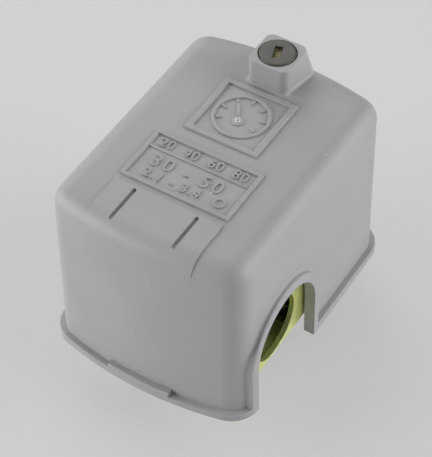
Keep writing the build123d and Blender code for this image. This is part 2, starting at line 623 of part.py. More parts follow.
def make_lever():
    """Pressed lever: flanged plate from the pivot to both spring seats."""
    half = LEVER_WIDTH / 2
    plate = block(-half, half, LEVER_FRONT_Y, STUD_Y, LEVER_Z, LEVER_TOP)
    range_seat = RANGE_MEAN_RADIUS + RANGE_WIRE / 2 + LEVER_SEAT_MARGIN
    trim_seat = TRIM_MEAN_RADIUS + TRIM_WIRE / 2 + LEVER_SEAT_MARGIN
    tail = block(-half, TRIM_X + trim_seat, STUD_Y - range_seat, STUD_Y + trim_seat, LEVER_Z, LEVER_TOP)
    tail = upright_fillet(tail, LEVER_CORNER)
    lever = plate + tail + disc(range_seat, LEVER_Z, LEVER_TOP, y=STUD_Y)
    for side in SIDES:
        x0, x1 = sorted((side * half, side * (half - LEVER_THICK)))
        wing = block(x0, x1, LEVER_FRONT_Y, LEVER_FLANGE_REAR_Y, LEVER_Z, LEVER_Z + LEVER_FLANGE_HEIGHT)
        wing = chamfer(wing.edges().filter_by(Axis.X).group_by(Axis.Z)[-1], LEVER_FLANGE_HEIGHT - 3.5)
        lever = lever + wing
    tab = block(-SNAP_WIDTH / 2, SNAP_WIDTH / 2, SNAP_TAB_Y, SNAP_TAB_Y + 1.2, LEVER_TOP - 0.1,
                LEVER_TOP + SNAP_TAB_HEIGHT)
    lever = lever + tab
    collars = (
        (0, RANGE_MEAN_RADIUS - RANGE_WIRE / 2 - 0.3, RANGE_STUD_RADIUS),
        (TRIM_X, TRIM_MEAN_RADIUS - TRIM_WIRE / 2 - 0.2, TRIM_STUD_RADIUS),
    )
    for x, radius, stud in collars:
        lever = lever + disc(radius, LEVER_TOP - 0.1, LEVER_TOP + LEVER_COLLAR_RISE, x, STUD_Y)
    for x, radius, stud in collars:
        hole = stud + (LEVER_STUD_GAP if x == 0 else LEVER_STUD_GAP / 2)
        lever = lever - disc(hole, LEVER_Z - 1, LEVER_TOP + 5, x, STUD_Y)
    lever = lever - cross_bar(PIVOT_PIN_RADIUS + 0.06, -half - 1, half + 1, PIVOT_Y, PIVOT_Z)
    return lever


def make_stud(radius, x, top):
    """Headed stud fixed in the plate."""
    head = hexagon(3.4 * radius, PLATE_Z - STUD_HEAD_HEIGHT, PLATE_Z, x, STUD_Y)
    stem = disc(radius, PLATE_Z - 0.1, top, x, STUD_Y)
    return head + chamfer(stem.edges().sort_by(Axis.Z)[-1], 0.5)


def make_stud_nuts():
    """Thin nuts that lock both studs on the plate."""
    nuts = []
    for x, radius in ((0, RANGE_STUD_RADIUS), (TRIM_X, TRIM_STUD_RADIUS)):
        nut = hexagon(3.6 * radius, DECKPLATE_Z, DECKPLATE_Z + STUD_NUT_HEIGHT, x, STUD_Y)
        nuts.append(nut - disc(radius + THREAD_GAP, PLATE_Z, LEVER_TOP, x, STUD_Y))
    return nuts


def make_spring_cap(mean_radius, wire, stud_radius, z, x):
    """Pressed cap on top of a spring, with a lip inside the coil."""
    cap = disc(mean_radius + wire / 2 + CAP_OVERHANG, z, z + CAP_THICK, x, STUD_Y)
    cap = fillet(cap.edges().sort_by(Axis.Z)[-1], 0.8)
    cap = cap + disc(mean_radius - wire / 2 - 0.25, z - 1.2, z + 0.1, x, STUD_Y)
    return cap - disc(stud_radius + 0.25, z - 5, z + 5, x, STUD_Y)


def make_adjusting_nut(flats, height, stud_radius, z, x):
    """Hexagon nut that sets a spring's load."""
    nut = hexagon(flats, z, z + height, x, STUD_Y)
    dome = Pos(x, STUD_Y, z + height / 2) * Cylinder(flats / 2 * 1.1, height)
    nut = nut & chamfer(dome.edges().sort_by(Axis.Z)[-1], 0.5)
    return nut - disc(stud_radius + THREAD_GAP, z - 1, z + height + 1, x, STUD_Y)


def make_contact_block():
    """Moulded block on two legs, with a terminal deck, barriers and lugs for the carrier pin."""
    half = BLOCK_WIDTH / 2
    body = block(-half, half, BLOCK_FRONT_Y, BLOCK_REAR_Y, BLOCK_Z, BLOCK_TOP)
    body = body + block(-half, half, BLOCK_FRONT_Y - DECK_REACH, BLOCK_FRONT_Y, BLOCK_TOP - DECK_THICK,
                        BLOCK_TOP)
    for side in SIDES:
        x0, x1 = sorted((side * half, side * (half - BLOCK_LEG_WIDTH)))
        body = body + block(x0, x1, BLOCK_FRONT_Y, BLOCK_REAR_Y, DECKPLATE_Z, BLOCK_Z)
        foot = block(x0, x1, BLOCK_FRONT_Y - FOOT_REACH, BLOCK_FRONT_Y, DECKPLATE_Z,
                     DECKPLATE_Z + FOOT_THICK)
        body = body + foot - disc(FOOT_SCREW_RADIUS + FIT_GAP, DECKPLATE_Z - 1, BLOCK_Z,
                                  side * foot_screw_x(), foot_screw_y())
        lug_inner = CARRIER_WEB_WIDTH / 2 + SIDE_GAP
        x0, x1 = sorted((side * lug_inner, side * (lug_inner + LUG_THICK)))
        lug = block(x0, x1, BLOCK_REAR_Y - 1, CARRIER_PIN_Y, CARRIER_PIN_Z - LUG_RADIUS,
                    CARRIER_PIN_Z + LUG_RADIUS)
        lug = lug + cross_bar(LUG_RADIUS, x0, x1, CARRIER_PIN_Y, CARRIER_PIN_Z)
        body = body + lug
    for i in range(5):
        x = TERMINAL_PITCH * (i - 2)
        x = max(-half + BARRIER_THICK / 2, min(half - BARRIER_THICK / 2, x))
        body = body + block(x - BARRIER_THICK / 2, x + BARRIER_THICK / 2, BLOCK_FRONT_Y - DECK_REACH,
                            BLOCK_REAR_Y - 2, BLOCK_TOP, BLOCK_TOP + BARRIER_RISE)
    hole_depth = TERMINAL_SCREW_LENGTH + 0.5
    for x in TERMINALS_X:
        body = body - disc(TERMINAL_SCREW_RADIUS + TERMINAL_SCREW_GAP, BLOCK_TOP - hole_depth,
                           BLOCK_TOP + 1, x, TERMINAL_Y)
    for side in SIDES:
        body = body - cross_bar(CARRIER_PIN_RADIUS + FIT_GAP, side * 24 - 8, side * 24 + 8,
                                CARRIER_PIN_Y, CARRIER_PIN_Z)
    return body


def make_foot_screws():
    """Two screws through the block's feet."""
    seat = DECKPLATE_Z + FOOT_THICK
    screws = []
    for side in SIDES:
        x = side * foot_screw_x()
        y = foot_screw_y()
        head = disc(FOOT_SCREW_HEAD_RADIUS, seat, seat + FOOT_SCREW_HEAD_HEIGHT, x, y)
        head = fillet(head.edges().sort_by(Axis.Z)[-1], 0.7)
        head = head - slot_cut(x, y, seat + FOOT_SCREW_HEAD_HEIGHT, FOOT_SCREW_HEAD_RADIUS)
        screws.append(head + disc(FOOT_SCREW_RADIUS, PLATE_Z + 0.1, seat + 0.1, x, y))
    return screws


def slot_cut(x, y, top, radius):
    """Screwdriver slot across a head."""
    return block(x - radius - 1, x + radius + 1, y - HEAD_SLOT_WIDTH / 2, y + HEAD_SLOT_WIDTH / 2,
                 top - HEAD_SLOT_DEPTH, top + 1)


def make_terminal_strip(x):
    """Bent strip from a terminal to its fixed contact."""
    half = STRIP_WIDTH / 2
    front = BLOCK_FRONT_Y - DECK_REACH + 0.6
    rear = BLOCK_REAR_Y + STRIP_THICK
    flat = block(x - half, x + half, front, rear, BLOCK_TOP, STRIP_TOP)
    drop = block(x - half, x + half, BLOCK_REAR_Y, rear, STRIP_TOP - STRIP_DROP, STRIP_TOP)
    strip = flat + drop
    return strip - disc(TERMINAL_SCREW_RADIUS + TERMINAL_SCREW_GAP, BLOCK_TOP - 1, STRIP_TOP + 1, x,
                        TERMINAL_Y)


def make_clamp_plates():
    """Square wire clamps under the terminal screws."""
    half = CLAMP_SIDE / 2
    plates = []
    for x in TERMINALS_X:
        plate = block(x - half, x + half, TERMINAL_Y - half, TERMINAL_Y + half, STRIP_TOP,
                      STRIP_TOP + CLAMP_THICK)
        plate = upright_fillet(plate, 0.8)
        plates.append(plate - disc(TERMINAL_SCREW_RADIUS + TERMINAL_SCREW_GAP, BLOCK_TOP, BLOCK_TOP + 9,
                                   x, TERMINAL_Y))
    return plates


def make_terminal_screws():
    """Four slotted binding-head screws."""
    seat = STRIP_TOP + CLAMP_THICK
    top = seat + TERMINAL_HEAD_HEIGHT
    screws = []
    for x in TERMINALS_X:
        head = disc(TERMINAL_HEAD_RADIUS, seat, top, x, TERMINAL_Y)
        head = fillet(head.edges().sort_by(Axis.Z)[-1], 0.8)
        head = head - slot_cut(x, TERMINAL_Y, top, TERMINAL_HEAD_RADIUS)
        screws.append(head + disc(TERMINAL_SCREW_RADIUS, BLOCK_TOP - TERMINAL_SCREW_LENGTH, seat + 0.1,
                                  x, TERMINAL_Y))
    return screws


def make_fixed_contacts():
    """Silver buttons on the terminal strips."""
    y0 = BLOCK_REAR_Y + STRIP_THICK
    return [lying_disc(BUTTON_RADIUS, y0, FIXED_FACE_Y, x, BUTTON_Z) for x in TERMINALS_X]


def make_bridges():
    """Two moving bridges, each with two buttons."""
    bridges = []
    for pole in POLES_X:
        half = TERMINAL_PITCH / 2 + BUTTON_RADIUS + 0.4
        bar = block(pole - half, pole + half, BRIDGE_Y, BRIDGE_Y + BRIDGE_THICK,
                    BUTTON_Z - BRIDGE_WIDTH / 2, BUTTON_Z + BRIDGE_WIDTH / 2)
        for side in SIDES:
            bar = bar + lying_disc(BUTTON_RADIUS - 0.2, MOVING_FACE_Y, BRIDGE_Y + 0.1,
                                   pole + side * TERMINAL_PITCH / 2, BUTTON_Z)
        bridges.append(bar)
    return bridges


def make_overtravel_springs():
    """Small springs between the bridges and the carrier."""
    springs = []
    for pole in POLES_X:
        y0 = BRIDGE_Y + BRIDGE_THICK
        y1 = CARRIER_Y + POCKET_DEPTH
        upright = coil(OVERTRAVEL_MEAN_RADIUS, OVERTRAVEL_WIRE, OVERTRAVEL_TURNS, 0, y1 - y0)
        springs.append(Pos(pole, y0, BUTTON_Z) * Rot(-90, 0, 0) * upright)
    return springs


def make_carrier():
    """Moulded rocker that carries both bridges."""
    y1 = CARRIER_Y + CARRIER_THICK
    bar = block(-CARRIER_WIDTH / 2, CARRIER_WIDTH / 2, CARRIER_Y, y1, CARRIER_TOP - CARRIER_BAR_DEPTH,
                CARRIER_TOP)
    web = block(-CARRIER_WEB_WIDTH / 2, CARRIER_WEB_WIDTH / 2, CARRIER_Y, y1, CARRIER_PIN_Z,
                CARRIER_TOP - CARRIER_BAR_DEPTH)
    barrel = cross_bar(CARRIER_THICK / 2, -CARRIER_WEB_WIDTH / 2, CARRIER_WEB_WIDTH / 2, CARRIER_PIN_Y,
                       CARRIER_PIN_Z)
    carrier = bar + web + barrel
    carrier = carrier - cross_bar(CARRIER_PIN_RADIUS + 0.06, -CARRIER_WIDTH, CARRIER_WIDTH,
                                  CARRIER_PIN_Y, CARRIER_PIN_Z)
    for pole in POLES_X:
        carrier = carrier - lying_disc(POCKET_RADIUS, CARRIER_Y - 1, CARRIER_Y + POCKET_DEPTH, pole,
                                       BUTTON_Z)
    return carrier


def make_carrier_pin():
    """Carrier's hinge pin, held by the block's lugs."""
    half = CARRIER_WEB_WIDTH / 2 + SIDE_GAP + LUG_THICK + 0.6
    return cross_bar(CARRIER_PIN_RADIUS, -half, half, CARRIER_PIN_Y, CARRIER_PIN_Z)


def make_snap_spring():
    """Curved leaf between the lever's tab and the carrier, which makes the contacts snap over."""
    start = (SNAP_TAB_Y + 1.2 + CONTACT_GAP, LEVER_TOP + SNAP_TAB_HEIGHT - 1.2)
    end = (CARRIER_Y - CONTACT_GAP - SNAP_THICK / 2, CARRIER_PIN_Z + 1.6)
    top_z = BLOCK_Z - 0.8
    middle = ((start[0] + end[0]) / 2 - 0.5, top_z - SNAP_THICK)
    path = Plane.YZ * ThreePointArc((start[0] + SNAP_THICK / 2, start[1]), middle, end)
    section = Plane(
        origin=path @ 0, x_dir=(1, 0, 0), z_dir=path % 0) * Rectangle(SNAP_WIDTH - 2, SNAP_THICK)
    return sweep(section, path=path)


def make_ground_screws():
    """Two washer-head ground screws on the plate."""
    screws = []
    for side in SIDES:
        x = side * GROUND_X
        washer = disc(GROUND_WASHER_RADIUS, DECKPLATE_Z, DECKPLATE_Z + 0.8, x, GROUND_Y)
        top = DECKPLATE_Z + 0.8 + GROUND_HEAD_HEIGHT
        head = hexagon(GROUND_FLATS, DECKPLATE_Z + 0.7, top, x, GROUND_Y)
        head = head - slot_cut(x, GROUND_Y, top, GROUND_WASHER_RADIUS)
        screws.append(washer + head + disc(GROUND_RADIUS, PLATE_Z - 1.5, DECKPLATE_Z + 0.1, x, GROUND_Y))
    return screws


def all_parts():
    """Every node's name with its solid or list of solids."""
    range_top = BOSS_TOP - RANGE_STUD_TOP_GAP
    trim_top = DECKPLATE_Z + TRIM_STUD_LENGTH
    parts = {
        "cover": make_cover(),
        "cover_nut": make_cover_nut(),
        "base_frame": make_frame(),
        "diaphragm_housing": make_housing(),
        "housing_screws": make_housing_screws(),
        "diaphragm": make_diaphragm(),
        "pressure_piston": make_piston(),
        "pivot_bracket": make_bracket(),
        "bracket_rivets": make_bracket_rivets(),
        "pivot_pin": make_pivot_pin(),
        "pivot_clips": make_pivot_clips(),
        "main_lever": make_lever(),
        "range_stud": make_stud(RANGE_STUD_RADIUS, 0, range_top),
        "differential_stud": make_stud(TRIM_STUD_RADIUS, TRIM_X, trim_top),
        "stud_locknuts": make_stud_nuts(),
        "range_spring": coil(RANGE_MEAN_RADIUS, RANGE_WIRE, RANGE_TURNS, LEVER_TOP, RANGE_CAP_Z, 0,
                             STUD_Y),
        "range_spring_cap": make_spring_cap(RANGE_MEAN_RADIUS, RANGE_WIRE, RANGE_STUD_RADIUS,
                                            RANGE_CAP_Z, 0),
        "range_nut": make_adjusting_nut(RANGE_NUT_FLATS, RANGE_NUT_HEIGHT, RANGE_STUD_RADIUS,
                                        RANGE_CAP_Z + CAP_THICK, 0),
        "differential_spring": coil(TRIM_MEAN_RADIUS, TRIM_WIRE, TRIM_TURNS, LEVER_TOP, TRIM_CAP_Z,
                                    TRIM_X, STUD_Y),
        "differential_spring_cap": make_spring_cap(TRIM_MEAN_RADIUS, TRIM_WIRE, TRIM_STUD_RADIUS,
                                                   TRIM_CAP_Z, TRIM_X),
        "differential_nut": make_adjusting_nut(TRIM_NUT_FLATS, TRIM_NUT_HEIGHT, TRIM_STUD_RADIUS,
                                               TRIM_CAP_Z + CAP_THICK, TRIM_X),
        "contact_block": make_contact_block(),
        "block_screws": make_foot_screws(),
        "clamp_plates": make_clamp_plates(),
        "terminal_screws": make_terminal_screws(),
        "fixed_contacts": make_fixed_contacts(),
        "contact_bridges": make_bridges(),
        "overtravel_springs": make_overtravel_springs(),
        "contact_carrier": make_carrier(),
        "carrier_pin": make_carrier_pin(),
        "snap_spring": make_snap_spring(),
        "ground_screws": make_ground_screws(),
    }
    for i, x in enumerate(TERMINALS_X):
        parts[f"terminal_strip_{i + 1}"] = make_terminal_strip(x)
    return parts


def write_parts():
    """Writes one STEP file for each node."""
    os.makedirs("parts", exist_ok=True)
    for name, solids in all_parts().items():
        if isinstance(solids, list):
            solids = Compound(children=[s.solids()[0] if len(s.solids()) == 1 else s for s in solids])
        export_step(solids, f"parts/{name}.step")


write_parts()
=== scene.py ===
"""Looks of a pump pressure switch: moulded cover, plated frame, springs, contacts and threads."""
import logging
from dataclasses import dataclass
from enum import Enum
from math import cos, pi, radians, sin

import bmesh
import bpy
from mathutils import Matrix, Vector


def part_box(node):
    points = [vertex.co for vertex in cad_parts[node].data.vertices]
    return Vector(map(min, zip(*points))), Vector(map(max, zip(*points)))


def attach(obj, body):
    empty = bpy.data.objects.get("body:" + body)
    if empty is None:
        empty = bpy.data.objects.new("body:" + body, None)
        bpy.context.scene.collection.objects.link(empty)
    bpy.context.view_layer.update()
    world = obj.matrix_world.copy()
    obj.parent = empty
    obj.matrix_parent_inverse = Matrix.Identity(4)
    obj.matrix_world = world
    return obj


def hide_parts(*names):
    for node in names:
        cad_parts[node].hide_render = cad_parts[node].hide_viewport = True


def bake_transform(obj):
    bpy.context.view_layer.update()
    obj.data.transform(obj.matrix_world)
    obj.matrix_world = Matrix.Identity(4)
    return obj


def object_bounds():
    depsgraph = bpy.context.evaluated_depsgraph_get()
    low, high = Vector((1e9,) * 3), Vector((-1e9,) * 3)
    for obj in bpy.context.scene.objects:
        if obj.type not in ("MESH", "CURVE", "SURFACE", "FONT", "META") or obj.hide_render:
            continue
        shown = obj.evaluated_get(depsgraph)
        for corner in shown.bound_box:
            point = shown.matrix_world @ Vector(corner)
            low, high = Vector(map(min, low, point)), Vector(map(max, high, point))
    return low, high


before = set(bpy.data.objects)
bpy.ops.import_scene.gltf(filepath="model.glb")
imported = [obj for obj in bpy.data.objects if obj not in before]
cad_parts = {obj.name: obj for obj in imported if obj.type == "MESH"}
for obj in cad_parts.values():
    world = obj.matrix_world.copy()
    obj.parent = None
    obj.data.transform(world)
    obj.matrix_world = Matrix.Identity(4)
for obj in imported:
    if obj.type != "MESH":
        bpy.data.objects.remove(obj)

LOG = logging.getLogger("pressure_switch")
CAD_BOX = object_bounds()
MM = 0.001
TURN = 2 * pi
UP = Vector((0.0, 0.0, 1.0))
SMOOTH_ANGLE = radians(38)
SHARP_ANGLE = radians(30)
WELD_MM = 0.0005

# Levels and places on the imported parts, in millimetres.
COVER_TOP = 79.0
COVER_ROOF = 77.4
BADGE_Y = 12.6
NAMEPLATE_Y = -14.6
HOUSING_UNDERSIDE = 11.0

# How the noise patterns of the finishes turn into looks.
BEVEL_SAMPLES = 4
# EDGE_COSINES sets where the painted highlight along sharp edges fades in.
EDGE_COSINES = (0.985, 0.86)
PATCH_SPAN = (0.35, 0.68)
PATCH_DETAIL = 4.0
GRAIN_SPAN = (0.3, 0.7)
GRAIN_DETAIL = 3.0
WAVE_DETAIL = 1.0
DUST_PITCH_MM = 7.0
DUST_SHARE = 0.034
DUST_CORE = 0.6

Colour = tuple[float, float, float]
Place = tuple[float, float, float]
Profile = list[tuple[float, float]]


def extent(node: str, digits: int = 2) -> tuple[Place, Place]:
    """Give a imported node's box.

    Args:
        node: Name of the node.
        digits: Decimals that are kept.

    Returns:
        Its lowest and highest corners, in millimetres.
    """
    low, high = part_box(node)
    lowest = tuple(round(value / MM, digits) for value in low)
    highest = tuple(round(value / MM, digits) for value in high)
    return lowest, highest


def axis_of(node: str) -> tuple[float, float]:
    """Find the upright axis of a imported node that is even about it.

    Args:
        node: Name of the node.

    Returns:
        X and Y of the axis, in millimetres.
    """
    low, high = extent(node)
    return round((low[0] + high[0]) / 2, 2), round((low[1] + high[1]) / 2, 2)


RANGE_AXIS = axis_of("range_stud")
TRIM_AXIS = axis_of("differential_stud")


class Grain(Enum):
    """How a finish's fine texture is stretched along X, Y and Z."""

    EVEN = (1.0, 1.0, 1.0)
    ALONG_X = (0.06, 1.0, 1.0)
    ALONG_Y = (1.0, 0.06, 1.0)
    ALONG_Z = (1.0, 1.0, 0.06)
    ROUND_Z = (0.12, 0.12, 1.0)


class NodeSheet:
    """The node tree of one material, with short ways to add what the finishes need."""

    def __init__(self, name: str) -> None:
        """Start an empty tree.

        Args:
            name: Name of the material.
        """
        self.material = bpy.data.materials.new(name)
        self.material.use_nodes = True
        self.tree = self.material.node_tree
        self.tree.nodes.clear()
        self.place = self.add("ShaderNodeTexCoord").outputs["Object"]

    def add(self, kind: str, **settings: object) -> bpy.types.Node:
        """Add a node.

        Args:
            kind: Blender's name of the node type.
            settings: Attributes to set on it.

        Returns:
            The new node.
        """
        node = self.tree.nodes.new(kind)
        for name, value in settings.items():
            setattr(node, name, value)
        return node

    def join(self, source: bpy.types.NodeSocket, target: bpy.types.NodeSocket) -> None:
        """Link two sockets.

        Args:
            source: The output.
            target: The input that it feeds.
        """
        self.tree.links.new(source, target)

    def noise(self, size_mm: float, detail: float, grain: Grain = Grain.EVEN) -> bpy.types.NodeSocket:
        """Add a noise pattern in object space.

        Args:
            size_mm: Size of the pattern's patches.
            detail: How many finer layers it has.
            grain: How it is stretched.

        Returns:
            The pattern's value, from 0 to 1.
        """
        mapping = self.add("ShaderNodeMapping")
        mapping.inputs["Scale"].default_value = grain.value
        self.join(self.place, mapping.inputs["Vector"])
        node = self.add("ShaderNodeTexNoise")
        node.inputs["Scale"].default_value = 1 / (size_mm * MM)
        node.inputs["Detail"].default_value = detail
        self.join(mapping.outputs["Vector"], node.inputs["Vector"])
        return node.outputs["Fac"]

    def specks(self, pitch_mm: float, share: float) -> bpy.types.NodeSocket:
        """Add small scattered spots.

        Args:
            pitch_mm: Mean distance between spots.
            share: Radius of a spot as a share of that distance.

        Returns:
            1 on a spot, 0 elsewhere.
        """
        cells = self.add("ShaderNodeTexVoronoi")
        cells.inputs["Scale"].default_value = 1 / (pitch_mm * MM)
        self.join(self.place, cells.inputs["Vector"])
        return self.spread(cells.outputs["Distance"], (share, share * DUST_CORE), (0.0, 1.0))

    def spread(self, value: bpy.types.NodeSocket, source: tuple[float, float],
               target: tuple[float, float]) -> bpy.types.NodeSocket:
        """Map a value from one range to another.

        Args:
            value: The value to map.
            source: Its low and high ends.
            target: What those ends become.

        Returns:
            The mapped value, held inside the target range.
        """
        node = self.add("ShaderNodeMapRange")
        names = ("From Min", "From Max", "To Min", "To Max")
        for name, number in zip(names, source + target):
            node.inputs[name].default_value = number
        self.join(value, node.inputs["Value"])
        return node.outputs["Result"]

    def mix(self, share: bpy.types.NodeSocket, first: Colour | bpy.types.NodeSocket,
            second: Colour) -> bpy.types.NodeSocket:
        """Mix two colours.

        Args:
            share: How much of the second colour shows.
            first: The first colour, or a node's output.
            second: The second colour.

        Returns:
            The mixed colour.
        """
        node = self.add("ShaderNodeMix", data_type="RGBA")
        self.join(share, node.inputs[0])
        if isinstance(first, tuple):
            node.inputs[6].default_value = (*first, 1.0)
        else:
            self.join(first, node.inputs[6])
        node.inputs[7].default_value = (*second, 1.0)
        return node.outputs[2]

    def rounded(self, radius_mm: float) -> bpy.types.NodeSocket:
        """Add slightly rounded edges.

        Args:
            radius_mm: Radius of the rounding.

        Returns:
            The normal of the rounded surface.
        """
        node = self.add("ShaderNodeBevel", samples=BEVEL_SAMPLES)
        node.inputs["Radius"].default_value = radius_mm * MM
        return node.outputs["Normal"]

    def edges(self, normal: bpy.types.NodeSocket) -> bpy.types.NodeSocket:
        """Find edges, which get a painted highlight.

        Args:
            normal: The normal of rounded edges.

        Returns:
            1 on sharp edges, 0 on flat faces.
        """
        true = self.add("ShaderNodeNewGeometry").outputs["Normal"]
        dot = self.add("ShaderNodeVectorMath", operation="DOT_PRODUCT")
        self.join(normal, dot.inputs[0])
        self.join(true, dot.inputs[1])
        return self.spread(dot.outputs["Value"], EDGE_COSINES, (0.0, 1.0))

    def bump(self, height: bpy.types.NodeSocket, depth_mm: float,
             normal: bpy.types.NodeSocket) -> bpy.types.NodeSocket:
        """Add small relief.

        Args:
            height: The relief, from 0 to 1.
            depth_mm: How deep it is.
            normal: The normal it starts from.

        Returns:
            The changed normal.
        """
        node = self.add("ShaderNodeBump")
        node.inputs["Distance"].default_value = depth_mm * MM
        self.join(height, node.inputs["Height"])
        self.join(normal, node.inputs["Normal"])
        return node.outputs["Normal"]


@dataclass(frozen=True)
class Finish:
    """Colour, gloss, fine texture and painted edge highlight of one material of the switch."""

    name: str
    slot: str
    colour: Colour
    patch_colour: Colour
    # painted highlight along sharp edges, with some rub wear: a lighter colour where the bevel mask finds
    # an edge
    edge_highlight_and_wear_colour: Colour
    roughness: float
    metallic: float = 0.0
    gloss_spread: float = 0.08
    patch_mm: float = 9.0
    grain_mm: float = 0.35
    grain_depth_mm: float = 0.012
    wave_mm: float = 7.0
    wave_depth_mm: float = 0.02
    grain: Grain = Grain.EVEN
    edge_mm: float = 0.22
    dust: Colour | None = None

    def material(self) -> bpy.types.Material:
        """Build the node material, or give the one built before.

        Returns:
            The material.
        """
        made = bpy.data.materials.get(self.name)
        if made:
            return made
        sheet = NodeSheet(self.name)
        patches = sheet.noise(self.patch_mm, PATCH_DETAIL)
        fine = sheet.noise(self.grain_mm, GRAIN_DETAIL, self.grain)
        wave = sheet.noise(self.wave_mm, WAVE_DETAIL)
        rounded = sheet.rounded(self.edge_mm)
        colour = sheet.mix(sheet.spread(patches, PATCH_SPAN, (0.0, 1.0)), self.colour, self.patch_colour)
        # painted highlight: sharp edges get the lighter edge colour, which stands in for the glint of
        # light on them, with some rub wear
        colour = sheet.mix(sheet.edges(rounded), colour, self.edge_highlight_and_wear_colour)
        if self.dust:
            colour = sheet.mix(sheet.specks(DUST_PITCH_MM, DUST_SHARE), colour, self.dust)
        relief = sheet.bump(fine, self.grain_depth_mm, sheet.bump(wave, self.wave_depth_mm, rounded))
        gloss = (self.roughness - self.gloss_spread, self.roughness + self.gloss_spread)
        shader = sheet.add("ShaderNodeBsdfPrincipled")
        shader.inputs["Metallic"].default_value = self.metallic
        sheet.join(colour, shader.inputs["Base Color"])
        sheet.join(sheet.spread(fine, GRAIN_SPAN, gloss), shader.inputs["Roughness"])
        sheet.join(relief, shader.inputs["Normal"])
        output = sheet.add("ShaderNodeOutputMaterial")
        sheet.join(shader.outputs["BSDF"], output.inputs["Surface"])
        return sheet.material


NYLON = Finish(
    "moulded_grey_nylon", "grey_nylon", colour=(0.362, 0.365, 0.372),
    patch_colour=(0.346, 0.347, 0.360), edge_highlight_and_wear_colour=(0.372, 0.375, 0.382), roughness=0.50,
    gloss_spread=0.06, patch_mm=16.0, grain_mm=0.5, grain_depth_mm=0.010, wave_mm=9.0,
    wave_depth_mm=0.03, edge_mm=0.12, dust=(0.75, 0.76, 0.78))
DARK_NYLON = Finish(
    "moulded_dark_nylon", "brown_nylon", colour=(0.088, 0.084, 0.074),
    patch_colour=(0.064, 0.062, 0.055), edge_highlight_and_wear_colour=(0.16, 0.15, 0.13), roughness=0.42,
    grain_mm=0.3, edge_mm=0.2)
GATE_NYLON = Finish(
    "gate_nylon", "grey_nylon", colour=(0.72, 0.73, 0.74),
    patch_colour=(0.62, 0.63, 0.64), edge_highlight_and_wear_colour=(0.78, 0.79, 0.80), roughness=0.45, patch_mm=1.0,
    grain_mm=0.3, edge_mm=0.08)
YELLOW_ZINC = Finish(
    "yellow_chromate_steel", "yellow_zinc_steel", colour=(0.90, 0.94, 0.32),
    patch_colour=(0.76, 0.86, 0.38), edge_highlight_and_wear_colour=(0.90, 0.90, 0.48), roughness=0.34, metallic=0.8,
    patch_mm=5.0, grain=Grain.ALONG_Z, grain_mm=0.25, grain_depth_mm=0.006)
CAST_ZINC = Finish(
    "die_cast_zinc", "die_cast_zinc", colour=(0.42, 0.43, 0.44),
    patch_colour=(0.34, 0.35, 0.36), edge_highlight_and_wear_colour=(0.60, 0.61, 0.62), roughness=0.46, metallic=0.9,
    patch_mm=6.0, grain_mm=0.6, grain_depth_mm=0.02)
SCREW_ZINC = Finish(
    "bright_zinc_screw", "bright_zinc_screws", colour=(0.62, 0.63, 0.65),
    patch_colour=(0.52, 0.53, 0.56), edge_highlight_and_wear_colour=(0.78, 0.79, 0.80), roughness=0.28, metallic=1.0,
    patch_mm=2.5, grain=Grain.ROUND_Z, edge_mm=0.15)
CAP_ZINC = Finish(
    "bright_zinc_cap", "bright_zinc_cap", colour=(0.60, 0.61, 0.62),
    patch_colour=(0.50, 0.51, 0.53), edge_highlight_and_wear_colour=(0.74, 0.75, 0.76), roughness=0.30, metallic=1.0,
    patch_mm=3.0, grain=Grain.ROUND_Z, edge_mm=0.15)
RUBBER = Finish(
    "black_rubber", "black_rubber", colour=(0.022, 0.022, 0.023),
    patch_colour=(0.030, 0.030, 0.030), edge_highlight_and_wear_colour=(0.045, 0.045, 0.045), roughness=0.72,
    grain_mm=0.5, edge_mm=0.1)
ALUMINIUM = Finish(
    "turned_aluminium", "machined_aluminium", colour=(0.66, 0.67, 0.68),
    patch_colour=(0.58, 0.59, 0.60), edge_highlight_and_wear_colour=(0.80, 0.80, 0.81), roughness=0.30, metallic=1.0,
    grain=Grain.ROUND_Z, grain_mm=0.15)
GROUND_STEEL = Finish(
    "ground_steel", "ground_steel", colour=(0.50, 0.50, 0.50),
    patch_colour=(0.42, 0.42, 0.43), edge_highlight_and_wear_colour=(0.66, 0.66, 0.66), roughness=0.26, metallic=1.0,
    grain=Grain.ALONG_X, grain_mm=0.15)
SPRING_WIRE = Finish(
    "spring_wire", "spring_steel", colour=(0.46, 0.46, 0.47),
    patch_colour=(0.36, 0.36, 0.38), edge_highlight_and_wear_colour=(0.56, 0.56, 0.57), roughness=0.30, metallic=1.0,
    patch_mm=2.0, grain_mm=0.2, edge_mm=0.05)
PHENOLIC = Finish(
    "black_phenolic", "black_phenolic", colour=(0.020, 0.019, 0.018),
    patch_colour=(0.028, 0.026, 0.024), edge_highlight_and_wear_colour=(0.075, 0.070, 0.065), roughness=0.38,
    patch_mm=3.0, grain_mm=0.5, grain_depth_mm=0.014)
SILVER = Finish(
    "silver_contact", "silver_contact", colour=(0.80, 0.79, 0.77),
    patch_colour=(0.68, 0.67, 0.64), edge_highlight_and_wear_colour=(0.88, 0.87, 0.85), roughness=0.24, metallic=1.0,
    patch_mm=1.2, grain_mm=0.15, edge_mm=0.1)
COPPER = Finish(
    "copper_strip", "copper_bridge", colour=(0.72, 0.36, 0.20),
    patch_colour=(0.56, 0.27, 0.16), edge_highlight_and_wear_colour=(0.84, 0.46, 0.28), roughness=0.30, metallic=1.0,
    patch_mm=3.0, grain=Grain.ALONG_X, edge_mm=0.12)
BRASS = Finish(
    "terminal_brass", "terminal_brass", colour=(0.70, 0.52, 0.22),
    patch_colour=(0.58, 0.42, 0.18), edge_highlight_and_wear_colour=(0.82, 0.66, 0.34), roughness=0.30, metallic=1.0,
    patch_mm=3.0, grain=Grain.ALONG_Y, edge_mm=0.12)
